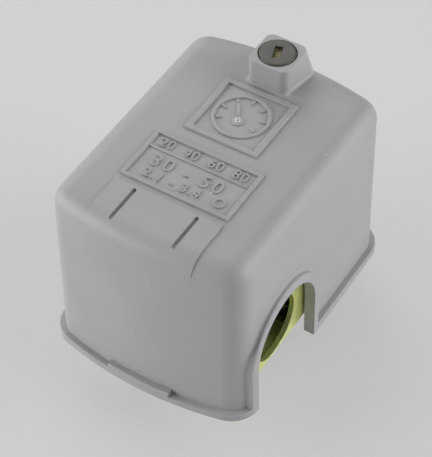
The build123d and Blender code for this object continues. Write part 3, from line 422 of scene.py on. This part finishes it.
DULL_BRASS = Finish(
    "dull_brass_insert", "terminal_brass", colour=(0.200, 0.175, 0.085),
    patch_colour=(0.130, 0.115, 0.065), edge_highlight_and_wear_colour=(0.26, 0.23, 0.13), roughness=0.45,
    metallic=0.5, patch_mm=1.2, grain_mm=0.2, edge_mm=0.1)
GROUND_GREEN = Finish(
    "green_ground_screw", "green_ground_screws", colour=(0.030, 0.26, 0.085),
    patch_colour=(0.020, 0.19, 0.065), edge_highlight_and_wear_colour=(0.12, 0.36, 0.16), roughness=0.32,
    metallic=0.55, patch_mm=2.0)

FINISHES = {finish.slot: finish for finish in (
    NYLON, DARK_NYLON, YELLOW_ZINC, CAST_ZINC, SCREW_ZINC, CAP_ZINC, RUBBER, ALUMINIUM,
    GROUND_STEEL, SPRING_WIRE, PHENOLIC, SILVER, COPPER, BRASS, GROUND_GREEN)}


class Piece:
    """One mesh being built in millimetres, which ends as one object; ride puts it on a body."""

    def __init__(self, name: str) -> None:
        """Start an empty mesh.

        Args:
            name: Name of the finished object.
        """
        self.name = name
        self.mesh = bmesh.new()

    def disc(self, radius: float, bottom: float, top: float, at: tuple[float, float], sides: int) -> None:
        """Add an upright cylinder.

        Args:
            radius: Radius over its corners.
            bottom: Height of its lower face.
            top: Height of its upper face.
            at: X and Y of its axis.
            sides: Number of facets round it.
        """
        matrix = Matrix.Translation((*at, bottom))
        made = bmesh.ops.create_circle(self.mesh, cap_ends=True, radius=radius, segments=sides,
                                       matrix=matrix)
        faces = list({face for vert in made["verts"] for face in vert.link_faces})
        grown = bmesh.ops.extrude_face_region(self.mesh, geom=faces, use_keep_orig=True)["geom"]
        raised = [item for item in grown if isinstance(item, bmesh.types.BMVert)]
        bmesh.ops.translate(self.mesh, verts=raised, vec=(0, 0, top - bottom))

    def box(self, low: Place, high: Place, turn: float = 0.0) -> None:
        """Add a box.

        Args:
            low: Its lowest corner.
            high: Its highest corner.
            turn: Angle that it is turned about the upright axis through its middle.
        """
        size = [b - a for a, b in zip(low, high)]
        middle = [(a + b) / 2 for a, b in zip(low, high)]
        matrix = Matrix.Translation(middle) @ Matrix.Rotation(turn, 4, "Z") @ Matrix.Diagonal((*size, 1.0))
        bmesh.ops.create_cube(self.mesh, size=1.0, matrix=matrix)

    def bar(self, centre: tuple[float, float], size: tuple[float, float], levels: tuple[float, float],
            turn: float = 0.0) -> None:
        """Add a box round an upright axis through its middle.

        Args:
            centre: X and Y of the axis.
            size: Its length and width.
            levels: Heights of its lower and upper faces.
            turn: Angle that it is turned about the axis.
        """
        x, y = centre
        length, width = size
        low, high = levels
        self.box((x - length / 2, y - width / 2, low), (x + length / 2, y + width / 2, high), turn)

    def turned(self, profile: Profile, at: tuple[float, float] = (0.0, 0.0), steps: int = 56) -> None:
        """Turn a profile about an upright axis, as on a lathe.

        Args:
            profile: Radius and height of each point.
            at: X and Y of the axis.
            steps: Number of facets round it.
        """
        origin = Vector((*at, 0.0))
        out = UP.orthogonal().normalized()
        verts = [self.mesh.verts.new(origin + out * radius + UP * height) for radius, height in profile]
        edges = [self.mesh.edges.new(pair) for pair in zip(verts, verts[1:])]
        bmesh.ops.spin(self.mesh, geom=verts + edges, cent=origin, axis=UP, angle=TURN, steps=steps,
                       use_merge=True)
        bmesh.ops.remove_doubles(self.mesh, verts=self.mesh.verts[:], dist=WELD_MM)

    def helix(self, section: Profile, at: tuple[float, float], start: float,
              spans: list[tuple[float, float]], steps: int = 28, angle: float = 0.0) -> None:
        """Sweep a closed section along a screw line.

        Args:
            section: Radius and height offset of each corner of the section.
            at: X and Y of the axis.
            start: Height where the line starts.
            spans: Turns and rise of each stretch of the line.
            steps: Facets in a turn.
            angle: Angle where the line starts.
        """
        origin = Vector((*at, 0.0))
        verts = [self.mesh.verts.new(origin + Matrix.Rotation(angle, 3, "Z") @ Vector((r, 0, start + z)))
                 for r, z in section]
        first = self.mesh.faces.new(verts)
        geom = [first, *first.edges, *verts]
        for turns, rise in spans:
            count = max(2, round(abs(turns) * steps))
            made = bmesh.ops.spin(self.mesh, geom=geom, cent=origin, axis=UP, dvec=UP * rise / count,
                                  angle=TURN * turns, steps=count)
            geom = made["geom_last"]
            bmesh.ops.remove_doubles(self.mesh, verts=self.mesh.verts[:], dist=WELD_MM)

    def soften(self, width: float, segments: int = 2) -> None:
        """Bevel the edges whose faces meet at a sharp angle.

        Args:
            width: Width of the bevel.
            segments: Number of facets in it.
        """
        bmesh.ops.recalc_face_normals(self.mesh, faces=self.mesh.faces[:])
        sharp = [edge for edge in self.mesh.edges
                 if len(edge.link_faces) == 2 and edge.calc_face_angle(0) > SHARP_ANGLE]
        bmesh.ops.bevel(self.mesh, geom=sharp, offset=width, affect="EDGES", segments=segments,
                        profile=0.5, material=-1, clamp_overlap=True)

    def cut(self, point: Place, normal: Place) -> None:
        """Cut away what lies beyond a plane and close the cut.

        Args:
            point: A point on the plane.
            normal: Direction that is cut away.
        """
        geom = self.mesh.verts[:] + self.mesh.edges[:] + self.mesh.faces[:]
        made = bmesh.ops.bisect_plane(self.mesh, geom=geom, plane_co=point, plane_no=normal,
                                      clear_outer=True)
        edges = [item for item in made["geom_cut"] if isinstance(item, bmesh.types.BMEdge)]
        bmesh.ops.holes_fill(self.mesh, edges=edges)

    def write(self, finish: Finish) -> bpy.types.Object:
        """Make the object, smooth by angle, with its finish.

        Args:
            finish: What it is made of.

        Returns:
            The object, at the origin, in metres.
        """
        bmesh.ops.scale(self.mesh, vec=(MM, MM, MM), verts=self.mesh.verts[:])
        bmesh.ops.recalc_face_normals(self.mesh, faces=self.mesh.faces[:])
        data = bpy.data.meshes.new(self.name)
        self.mesh.to_mesh(data)
        self.mesh.free()
        data.shade_smooth()
        data.set_sharp_from_angle(angle=SMOOTH_ANGLE)
        data.materials.append(finish.material())
        made = bpy.data.objects.new(self.name, data)
        bpy.context.scene.collection.objects.link(made)
        LOG.info("%s: %d faces", self.name, len(data.polygons))
        return made

    def ride(self, finish: Finish, body: str, *nodes: str) -> bpy.types.Object:
        """Make the object and put it on a body.

        Args:
            finish: What it is made of.
            body: The body that it moves with.
            nodes: CAD nodes that it stands for.

        Returns:
            The object.
        """
        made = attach(self.write(finish), body)
        if nodes:
            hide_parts(*nodes)
        return made


def round_section(radius: float, wire: float, sides: int = 12) -> Profile:
    """Give the corners of a round wire's section.

    Args:
        radius: Mean radius of the coil.
        wire: Thickness of the wire.
        sides: Number of corners.

    Returns:
        Radius and height offset of each corner.
    """
    angles = [TURN * index / sides for index in range(sides)]
    return [(radius + wire / 2 * cos(angle), wire / 2 * sin(angle)) for angle in angles]


def dress_packed_nodes() -> None:
    """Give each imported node's material slots their finish."""
    for name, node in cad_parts.items():
        for held in node.material_slots:
            slot = held.material.name.split(".")[0]
            held.material = FINISHES[slot].material()
            LOG.info("%s: finish %s", name, slot)


@dataclass(frozen=True)
class NumberRow:
    """One row of raised numbers, which reads along X or, when it stands, faces the front."""

    name: str
    text: str
    size: float
    place: Place
    body: str
    finish: Finish
    rise: float = 0.4
    spacing: float = 1.1
    weight: float = 0.03
    standing: bool = False

    def build(self) -> None:
        """Build the row as a mesh and put it on its body."""
        curve = bpy.data.curves.new(self.name, "FONT")
        curve.body = self.text
        curve.size = self.size
        curve.align_x = "CENTER"
        curve.align_y = "CENTER"
        curve.extrude = self.rise
        curve.offset = self.weight
        curve.space_character = self.spacing
        holder = bpy.data.objects.new(self.name, curve)
        bpy.context.scene.collection.objects.link(holder)
        bpy.context.view_layer.update()
        data = bpy.data.meshes.new_from_object(holder.evaluated_get(bpy.context.evaluated_depsgraph_get()))
        bpy.data.objects.remove(holder)
        data.transform(Matrix.Scale(MM, 4) @ Matrix.Translation(self.place)
                       @ Matrix.Rotation(pi / 2 if self.standing else 0.0, 4, "X"))
        data.materials.clear()
        data.materials.append(self.finish.material())
        made = bpy.data.objects.new(self.name, data)
        bpy.context.scene.collection.objects.link(made)
        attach(made, self.body)
        LOG.info("%s: %d faces", self.name, len(data.polygons))


@dataclass
class CoverMarks:
    """Raised marks on the cover's top: a dial in the square border and numbers on the plate."""

    top: float = COVER_TOP
    rise: float = 0.5
    sink: float = 0.3
    dial_y: float = BADGE_Y
    dial_radius: float = 9.0
    dial_line: float = 1.1
    tick_count: int = 7
    first_tick: float = -30.0
    tick_step: float = 40.0
    tick_inset: float = 1.2
    tick_size: tuple[float, float] = (1.8, 0.7)
    hub_y: float = 10.5
    hub_radius: float = 1.9
    hub_drop: float = 0.1
    pointer_angle: float = 118.0
    pointer_reach: float = 4.6
    pointer_size: tuple[float, float] = (5.2, 1.0)
    gate_bore: float = 0.45
    gate_crest: float = 0.62
    gate_radius: float = 0.85
    gate_rise: float = 0.62
    gate_bulge: float = 0.1
    plate_y: float = NAMEPLATE_Y
    plate_width: float = 33.8
    plate_rise: float = 0.4
    line_low: float = 3.3
    line_high: float = 4.0
    ring_place: tuple[float, float] = (12.6, -5.6)
    ring_bore: float = 1.25
    ring_radius: float = 1.85

    def dial(self) -> None:
        """Build the ring, ticks, pointer and hub in the square border."""
        piece = Piece("cover_dial_mark")
        low, high = self.top - self.sink, self.top + self.rise
        outer, inner = self.dial_radius, self.dial_radius - self.dial_line
        piece.turned([(inner, low), (inner, high), (outer, high), (outer, low), (inner, low)],
                     (0, self.dial_y), steps=72)
        for index in range(self.tick_count):
            angle = radians(self.first_tick + self.tick_step * index)
            at = Vector((cos(angle), sin(angle))) * (inner - self.tick_inset)
            piece.bar((at.x, self.dial_y + at.y), self.tick_size, (low, high), angle)
        angle = radians(self.pointer_angle)
        at = Vector((cos(angle), sin(angle))) * self.pointer_reach
        piece.bar((at.x, self.hub_y + at.y), self.pointer_size, (low, high), angle)
        piece.disc(self.hub_radius, low, high - self.hub_drop, (0, self.hub_y), sides=32)
        piece.soften(width=0.12)
        piece.ride(NYLON, "cover")

    def gate(self) -> None:
        """Build the little ring left where the plastic ran in."""
        piece = Piece("cover_gate_ring")
        bore, radius = self.gate_bore, self.gate_radius
        low, high = self.top, self.top + self.gate_rise
        piece.turned([(bore, low), (bore, high), (self.gate_crest, high + self.gate_bulge), (radius, high),
                      (radius, low), (bore, low)], (0, self.hub_y), steps=32)
        piece.ride(GATE_NYLON, "cover")

    def plate(self) -> None:
        """Build the dividing line and the ring mark of the plate."""
        piece = Piece("cover_plate_lines")
        low, high = self.top - self.sink, self.top + self.plate_rise
        half = self.plate_width / 2
        piece.box((-half, self.plate_y + self.line_low, low), (half, self.plate_y + self.line_high, high))
        bore, radius = self.ring_bore, self.ring_radius
        x, y = self.ring_place
        piece.turned([(bore, low), (bore, high), (radius, high), (radius, low), (bore, low)],
                     (x, self.plate_y + y), steps=32)
        piece.soften(width=0.1)
        piece.ride(NYLON, "cover")

    def rows(self) -> list[NumberRow]:
        """Give the plate's three rows of numbers.

        Returns:
            The rows, from the rear to the front.
        """
        return [
            NumberRow("cover_scale_row", "20  40  60  80", size=4.7,
                      place=(0.0, self.plate_y + 6.35, self.top), body="cover", finish=NYLON),
            NumberRow("cover_range_row", "30 - 50", size=6.6,
                      place=(-1.2, self.plate_y - 0.9, self.top), body="cover", finish=NYLON,
                      spacing=1.25),
            NumberRow("cover_bar_row", "2.1 - 3.4", size=4.6,
                      place=(-3.0, self.plate_y - 6.0, self.top), body="cover", finish=NYLON, spacing=1.2)]

    def build(self) -> None:
        """Build all the marks."""
        self.dial()
        self.gate()
        self.plate()
        for row in self.rows():
            row.build()


@dataclass
class CoverNutInsert:
    """Plated thread insert that shows in the cover nut's slot."""

    at: tuple[float, float] = RANGE_AXIS
    levels: tuple[float, float] = (85.9, 87.9)
    size: tuple[float, float] = (2.4, 5.0)
    turn: float = radians(20)
    dish_border: float = 0.45
    dish_depth: float = 0.3

    def build(self) -> None:
        """Build the insert with a dished middle."""
        piece = Piece("cover_nut_insert")
        piece.bar(self.at, self.size, self.levels, self.turn)
        top = max(piece.mesh.faces, key=lambda face: face.calc_center_median().z)
        bmesh.ops.inset_region(piece.mesh, faces=[top], thickness=self.dish_border, depth=-self.dish_depth)
        piece.soften(width=0.1)
        piece.ride(DULL_BRASS, "cover_nut")


@dataclass
class PortThread:
    """Pipe thread in the inlet."""

    radius: float = 5.6
    depth: float = 0.5
    pitch: float = 1.41
    bottom: float = 0.9
    top: float = 11.6
    root_share: float = 0.46
    crest_share: float = 0.07
    sink: float = 0.02

    def build(self) -> None:
        """Build the ridge that winds up the port."""
        piece = Piece("inlet_thread")
        root, crest = self.radius + self.sink, self.radius - self.depth
        foot, tip = self.pitch * self.root_share, self.pitch * self.crest_share
        section = [(root, -foot), (root, foot), (crest, tip), (crest, -tip)]
        rise = self.top - self.bottom
        piece.helix(section, (0.0, 0.0), self.bottom, [(rise / self.pitch, rise)], steps=36)
        piece.ride(CAST_ZINC, "frame")


@dataclass
class HexNut:
    """A chamfered hexagonal adjusting nut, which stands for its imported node."""

    name: str
    node: str
    body: str
    at: tuple[float, float]
    bore: float
    chamfer: float = 0.55
    chamfer_slope: float = 0.58
    lead: float = 0.35

    def build(self) -> None:
        """Turn the blank, then cut its six flats."""
        piece = Piece(self.name)
        (left, _, low), (right, _, high) = extent(self.node)
        apothem = (right - left) / 2
        corner = apothem / cos(pi / 6)
        drop = self.chamfer * self.chamfer_slope
        lead = self.lead
        piece.turned([(self.bore, low + lead), (self.bore + lead, low), (corner - self.chamfer, low),
                      (corner, low + drop), (corner, high - drop), (corner - self.chamfer, high),
                      (self.bore + lead, high), (self.bore, high - lead), (self.bore, low + lead)],
                     self.at, steps=72)
        for index in range(6):
            angle = TURN * index / 6
            away = Vector((cos(angle), sin(angle), 0.0))
            point = Vector((*self.at, 0.0)) + away * apothem
            piece.cut(tuple(point), tuple(away))
        piece.ride(SCREW_ZINC, self.body, self.node)


@dataclass
class SnapStrip:
    """The over-centre strip spring, which bends between the lever and the carrier's end."""

    node: str = "snap_spring"
    weld: float = 0.002
    longest_edge: float = 0.8

    def build(self) -> None:
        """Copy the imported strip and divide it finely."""
        piece = Piece("snap_strip")
        piece.mesh.from_mesh(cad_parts[self.node].data)
        bmesh.ops.scale(piece.mesh, vec=(1 / MM,) * 3, verts=piece.mesh.verts[:])
        bmesh.ops.remove_doubles(piece.mesh, verts=piece.mesh.verts[:], dist=self.weld)
        long = [edge for edge in piece.mesh.edges if edge.calc_length() > self.longest_edge]
        bmesh.ops.subdivide_edges(piece.mesh, edges=long, cuts=2, use_grid_fill=True)
        bmesh.ops.triangulate(piece.mesh, faces=piece.mesh.faces[:])
        made = piece.write(SPRING_WIRE)
        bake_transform(made)
        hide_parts(self.node)


@dataclass
class CastMarks:
    """Raised ring on the housing's underside, and ejector marks inside the cover."""

    ring_inner: float = 15.6
    ring_outer: float = 17.0
    ring_edge: float = 0.15
    ring_drop: float = 0.5
    ring_sink: float = 0.3
    seat: float = HOUSING_UNDERSIDE
    roof: float = COVER_ROOF
    pin_bore: float = 1.7
    pin_radius: float = 2.0
    pin_drop: float = 0.12
    pin_sink: float = 0.2
    pin_columns: tuple[float, ...] = (-20.0, 20.0)
    pin_rows: tuple[float, ...] = (-28.0, 0.0, 24.0)

    def housing(self) -> None:
        """Build the ring round the hexagon."""
        piece = Piece("housing_ring")
        low, high = self.seat - self.ring_drop, self.seat + self.ring_sink
        inner, outer, edge = self.ring_inner, self.ring_outer, self.ring_edge
        piece.turned([(inner, high), (inner, low + edge), (inner + edge, low), (outer - edge, low),
                      (outer, low + edge), (outer, high), (inner, high)], steps=72)
        piece.ride(CAST_ZINC, "frame")

    def ejectors(self) -> None:
        """Build the round witness marks under the cover's roof."""
        piece = Piece("ejector_marks")
        low, high = self.roof - self.pin_drop, self.roof + self.pin_sink
        bore, radius = self.pin_bore, self.pin_radius
        for x in self.pin_columns:
            for y in self.pin_rows:
                piece.turned([(bore, high), (bore, low), (radius, low), (radius, high), (bore, high)],
                             (x, y), steps=28)
        piece.ride(NYLON, "cover")

    def build(self) -> None:
        """Build both sets of marks."""
        self.housing()
        self.ejectors()


class TerminalDetails:
    """Serrations of the wire clamps and the terminal numbers of the contact block."""

    STRIPS = ("terminal_strip_1", "terminal_strip_2", "terminal_strip_3", "terminal_strip_4")
    RIDGES = 5
    RIDGE_PITCH = 1.3
    RIDGE_SIZE = (0.9, 0.7)
    RIDGE_INSET = 0.55
    RIDGE_RISE = 0.22
    RIDGE_SINK = 0.2
    NUMBER_SIZE = 4.4
    NUMBER_Z = 46.2

    def __init__(self) -> None:
        """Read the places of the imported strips, clamps and block."""
        self.places = [axis_of(strip)[0] for strip in self.STRIPS]
        low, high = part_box("clamp_plates")
        self.clamp_top = high.z / MM
        self.clamp_side = (high.x - low.x) / MM - (self.places[-1] - self.places[0])
        self.terminal_y = (low.y + high.y) / 2 / MM
        self.deck_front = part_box("contact_block")[0].y / MM

    def teeth(self) -> None:
        """Build the ridges that grip a wire on each clamp."""
        piece = Piece("clamp_teeth")
        levels = (self.clamp_top - self.RIDGE_SINK, self.clamp_top + self.RIDGE_RISE)
        for x in self.places:
            for side in (-1, 1):
                for row in range(self.RIDGES):
                    y = self.terminal_y + self.RIDGE_PITCH * (row - self.RIDGES // 2)
                    middle = x + side * (self.clamp_side / 2 - self.RIDGE_INSET)
                    piece.bar((middle, y), self.RIDGE_SIZE, levels)
        piece.soften(width=0.12, segments=1)
        piece.ride(BRASS, "frame")

    def build(self) -> None:
        """Build the teeth and the numbers."""
        self.teeth()
        for number, x in enumerate(self.places, start=1):
            NumberRow(f"terminal_number_{number}", str(number), size=self.NUMBER_SIZE,
                      place=(x, self.deck_front, self.NUMBER_Z), body="frame", finish=PHENOLIC, rise=0.3,
                      standing=True).build()


@dataclass
class LoadSpring:
    """A compression spring between the lever and a cap, in two looks that meet in the middle."""

    name: str
    cap_body: str
    node: str
    at: tuple[float, float]
    wire: float
    turns: float
    end_turns: float = 0.85
    end_pitch: float = 1.04

    def build(self) -> None:
        """Build the lower and the upper half of the coil."""
        wire = self.wire
        (left, _, bottom), (right, _, top) = extent(self.node, digits=1)
        section = round_section((right - left - wire) / 2, wire)
        middle = (bottom + top) / 2
        low, rise = bottom + wire / 2, wire * self.end_pitch * self.end_turns
        active = (self.turns - 2 * self.end_turns) / 2
        half = [(self.end_turns, rise), (active, middle - low - rise)]
        for part, start, spans, body, end in (
                ("lower", low, half, "lever", bottom),
                ("upper", middle, half[::-1], self.cap_body, top)):
            piece = Piece(f"{self.name}_{part}")
            angle = TURN * (self.turns / 2 if part == "upper" else 0.0)
            piece.helix(section, self.at, start, spans, angle=angle)
            made = piece.write(SPRING_WIRE)
            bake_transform(made)
            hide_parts(self.node)


@dataclass
class StudThread:
    """A rolled thread on a stud."""

    name: str
    body: str
    at: tuple[float, float]
    radius: float
    pitch: float
    bottom: float
    top: float
    depth_share: float = 0.42
    root_share: float = 0.46
    crest_share: float = 0.08
    clearance: float = 0.02

    def build(self) -> None:
        """Build the ridge that winds round the stud."""
        piece = Piece(self.name)
        root, crest = self.radius - self.pitch * self.depth_share, self.radius - self.clearance
        foot, tip = self.pitch * self.root_share, self.pitch * self.crest_share
        section = [(root, -foot), (crest, -tip), (crest, tip), (root, foot)]
        turns = (self.top - self.bottom) / self.pitch
        piece.helix(section, self.at, self.bottom, [(turns, self.top - self.bottom)], steps=20)
        piece.ride(SCREW_ZINC, self.body)


@dataclass(frozen=True)
class Lamp:
    """A soft box light."""

    name: str
    azimuth: float
    elevation: float
    power: float
    distance: float = 0.9
    size: float = 0.75
    colour: Colour = (1.0, 1.0, 1.0)

    def build(self, aim: Vector) -> None:
        """Place the lamp and point it.

        Args:
            aim: The point that it faces, in metres.
        """
        around, up = radians(self.azimuth), radians(self.elevation)
        away = Vector((sin(around) * cos(up), -cos(around) * cos(up), sin(up)))
        data = bpy.data.lights.new(self.name, "AREA")
        data.shape = "SQUARE"
        data.size = self.size
        data.energy = self.power
        data.color = self.colour
        lamp = bpy.data.objects.new(self.name, data)
        lamp.location = aim + away * self.distance
        lamp.rotation_euler = away.to_track_quat("Z", "Y").to_euler()
        bpy.context.scene.collection.objects.link(lamp)


@dataclass
class Studio:
    """Floor, lights and camera."""

    floor_drop: float = 0.4
    floor_size: float = 4.0
    floor_roughness: float = 0.9
    floor_colour: Colour = (0.29, 0.29, 0.29)
    floor_glow: float = 0.35
    world_colour: Colour = (1.0, 1.0, 1.0)
    world_strength: float = 0.04
    azimuth: float = 32.5
    elevation: float = 48.29
    roll: float = 0.86
    target: Place = (0.0, -9.6, 45.5)
    shift_right: float = 3.89
    shift_up: float = 3.79
    distance: float = 503.57
    lens: float = 131.74
    sensor: float = 36.0
    nearest: float = 0.01
    lamp_target: Place = (0.0, 0.0, 40.0)
    lamps: tuple[Lamp, ...] = (
        Lamp("left_softbox", azimuth=-50.0, elevation=12.0, power=10.35),
        Lamp("right_front_softbox", azimuth=75.0, elevation=12.0, power=1.30),
        Lamp("right_low_softbox", azimuth=110.0, elevation=12.0, power=4.95),
        Lamp("right_high_softbox", azimuth=115.0, elevation=35.0, power=3.05),
        Lamp("rear_softbox", azimuth=230.0, elevation=35.0, power=4.10),
        Lamp("overhead_softbox", azimuth=0.0, elevation=88.0, power=0.80))

    def floor(self) -> None:
        """Lay a plain pale floor, lit from behind like a light table and clear from below."""
        sheet = bmesh.new()
        bmesh.ops.create_grid(sheet, x_segments=1, y_segments=1, size=self.floor_size / 2,
                              matrix=Matrix.Translation((0, 0, CAD_BOX[0][2] - self.floor_drop * MM)))
        data = bpy.data.meshes.new("studio_floor")
        sheet.to_mesh(data)
        sheet.free()
        nodes = NodeSheet("studio_floor")
        shader = nodes.add("ShaderNodeBsdfPrincipled")
        shader.inputs["Base Color"].default_value = (*self.floor_colour, 1.0)
        shader.inputs["Roughness"].default_value = self.floor_roughness
        shader.inputs["Specular IOR Level"].default_value = 0.0
        shader.inputs["Emission Color"].default_value = (1.0, 1.0, 1.0, 1.0)
        shader.inputs["Emission Strength"].default_value = self.floor_glow
        under = nodes.add("ShaderNodeNewGeometry").outputs["Backfacing"]
        clear = nodes.add("ShaderNodeBsdfTransparent")
        either = nodes.add("ShaderNodeMixShader")
        nodes.join(under, either.inputs[0])
        nodes.join(shader.outputs["BSDF"], either.inputs[1])
        nodes.join(clear.outputs["BSDF"], either.inputs[2])
        nodes.join(either.outputs["Shader"], nodes.add("ShaderNodeOutputMaterial").inputs["Surface"])
        data.materials.append(nodes.material)
        made = bpy.data.objects.new("studio_floor", data)
        bpy.context.scene.collection.objects.link(made)

    def sky(self) -> None:
        """Set the even light of the room."""
        world = bpy.data.worlds.new("studio_room")
        world.use_nodes = True
        backdrop = world.node_tree.nodes["Background"]
        backdrop.inputs["Color"].default_value = (*self.world_colour, 1.0)
        backdrop.inputs["Strength"].default_value = self.world_strength
        bpy.context.scene.world = world

    def camera(self) -> None:
        """Set the camera at its angle, distance and lens."""
        around, up, roll = radians(self.azimuth), radians(self.elevation), radians(self.roll)
        back = Vector((sin(around) * cos(up), -cos(around) * cos(up), sin(up)))
        level = Vector((cos(around), sin(around), 0.0))
        upright = back.cross(level)
        right = cos(roll) * level - sin(roll) * upright
        above = sin(roll) * level + cos(roll) * upright
        sideways = self.shift_right * right + self.shift_up * above
        spot = Vector(self.target) + sideways + self.distance * back
        data = bpy.data.cameras.new("camera")
        data.lens = self.lens
        data.sensor_width = self.sensor
        data.clip_start = self.nearest
        made = bpy.data.objects.new("camera", data)
        turned = Matrix((right, above, back)).transposed().to_4x4()
        made.matrix_world = Matrix.Translation(spot * MM) @ turned
        bpy.context.scene.collection.objects.link(made)
        bpy.context.scene.camera = made

    def build(self) -> None:
        """Build the whole studio."""
        self.floor()
        self.sky()
        self.camera()
        for lamp in self.lamps:
            lamp.build(Vector(self.lamp_target) * MM)
        bpy.context.scene.view_settings.view_transform = "Standard"


def main() -> None:
    """Build every look of the switch and its studio."""
    logging.basicConfig(level=logging.INFO, format="%(message)s")
    Studio().build()
    dress_packed_nodes()
    CoverMarks().build()
    LoadSpring("range_coil", "range_cap", "range_spring", RANGE_AXIS, wire=2.2, turns=7.0).build()
    LoadSpring("differential_coil", "differential_cap", "differential_spring", TRIM_AXIS, wire=1.2,
               turns=9.0).build()
    CoverNutInsert().build()
    PortThread().build()
    HexNut("range_hex_nut", "range_nut", "range_nut", RANGE_AXIS, bore=2.5).build()
    HexNut("differential_hex_nut", "differential_nut", "differential_nut", TRIM_AXIS, bore=2.15).build()
    SnapStrip().build()
    TerminalDetails().build()
    CastMarks().build()
    StudThread("range_stud_thread", "frame", RANGE_AXIS, radius=2.41, pitch=1.27, bottom=40.0,
               top=85.0).build()
    StudThread("differential_stud_thread", "frame", TRIM_AXIS, radius=2.08, pitch=1.058, bottom=36.0,
               top=57.0).build()


if __name__ == "__main__":
    main()
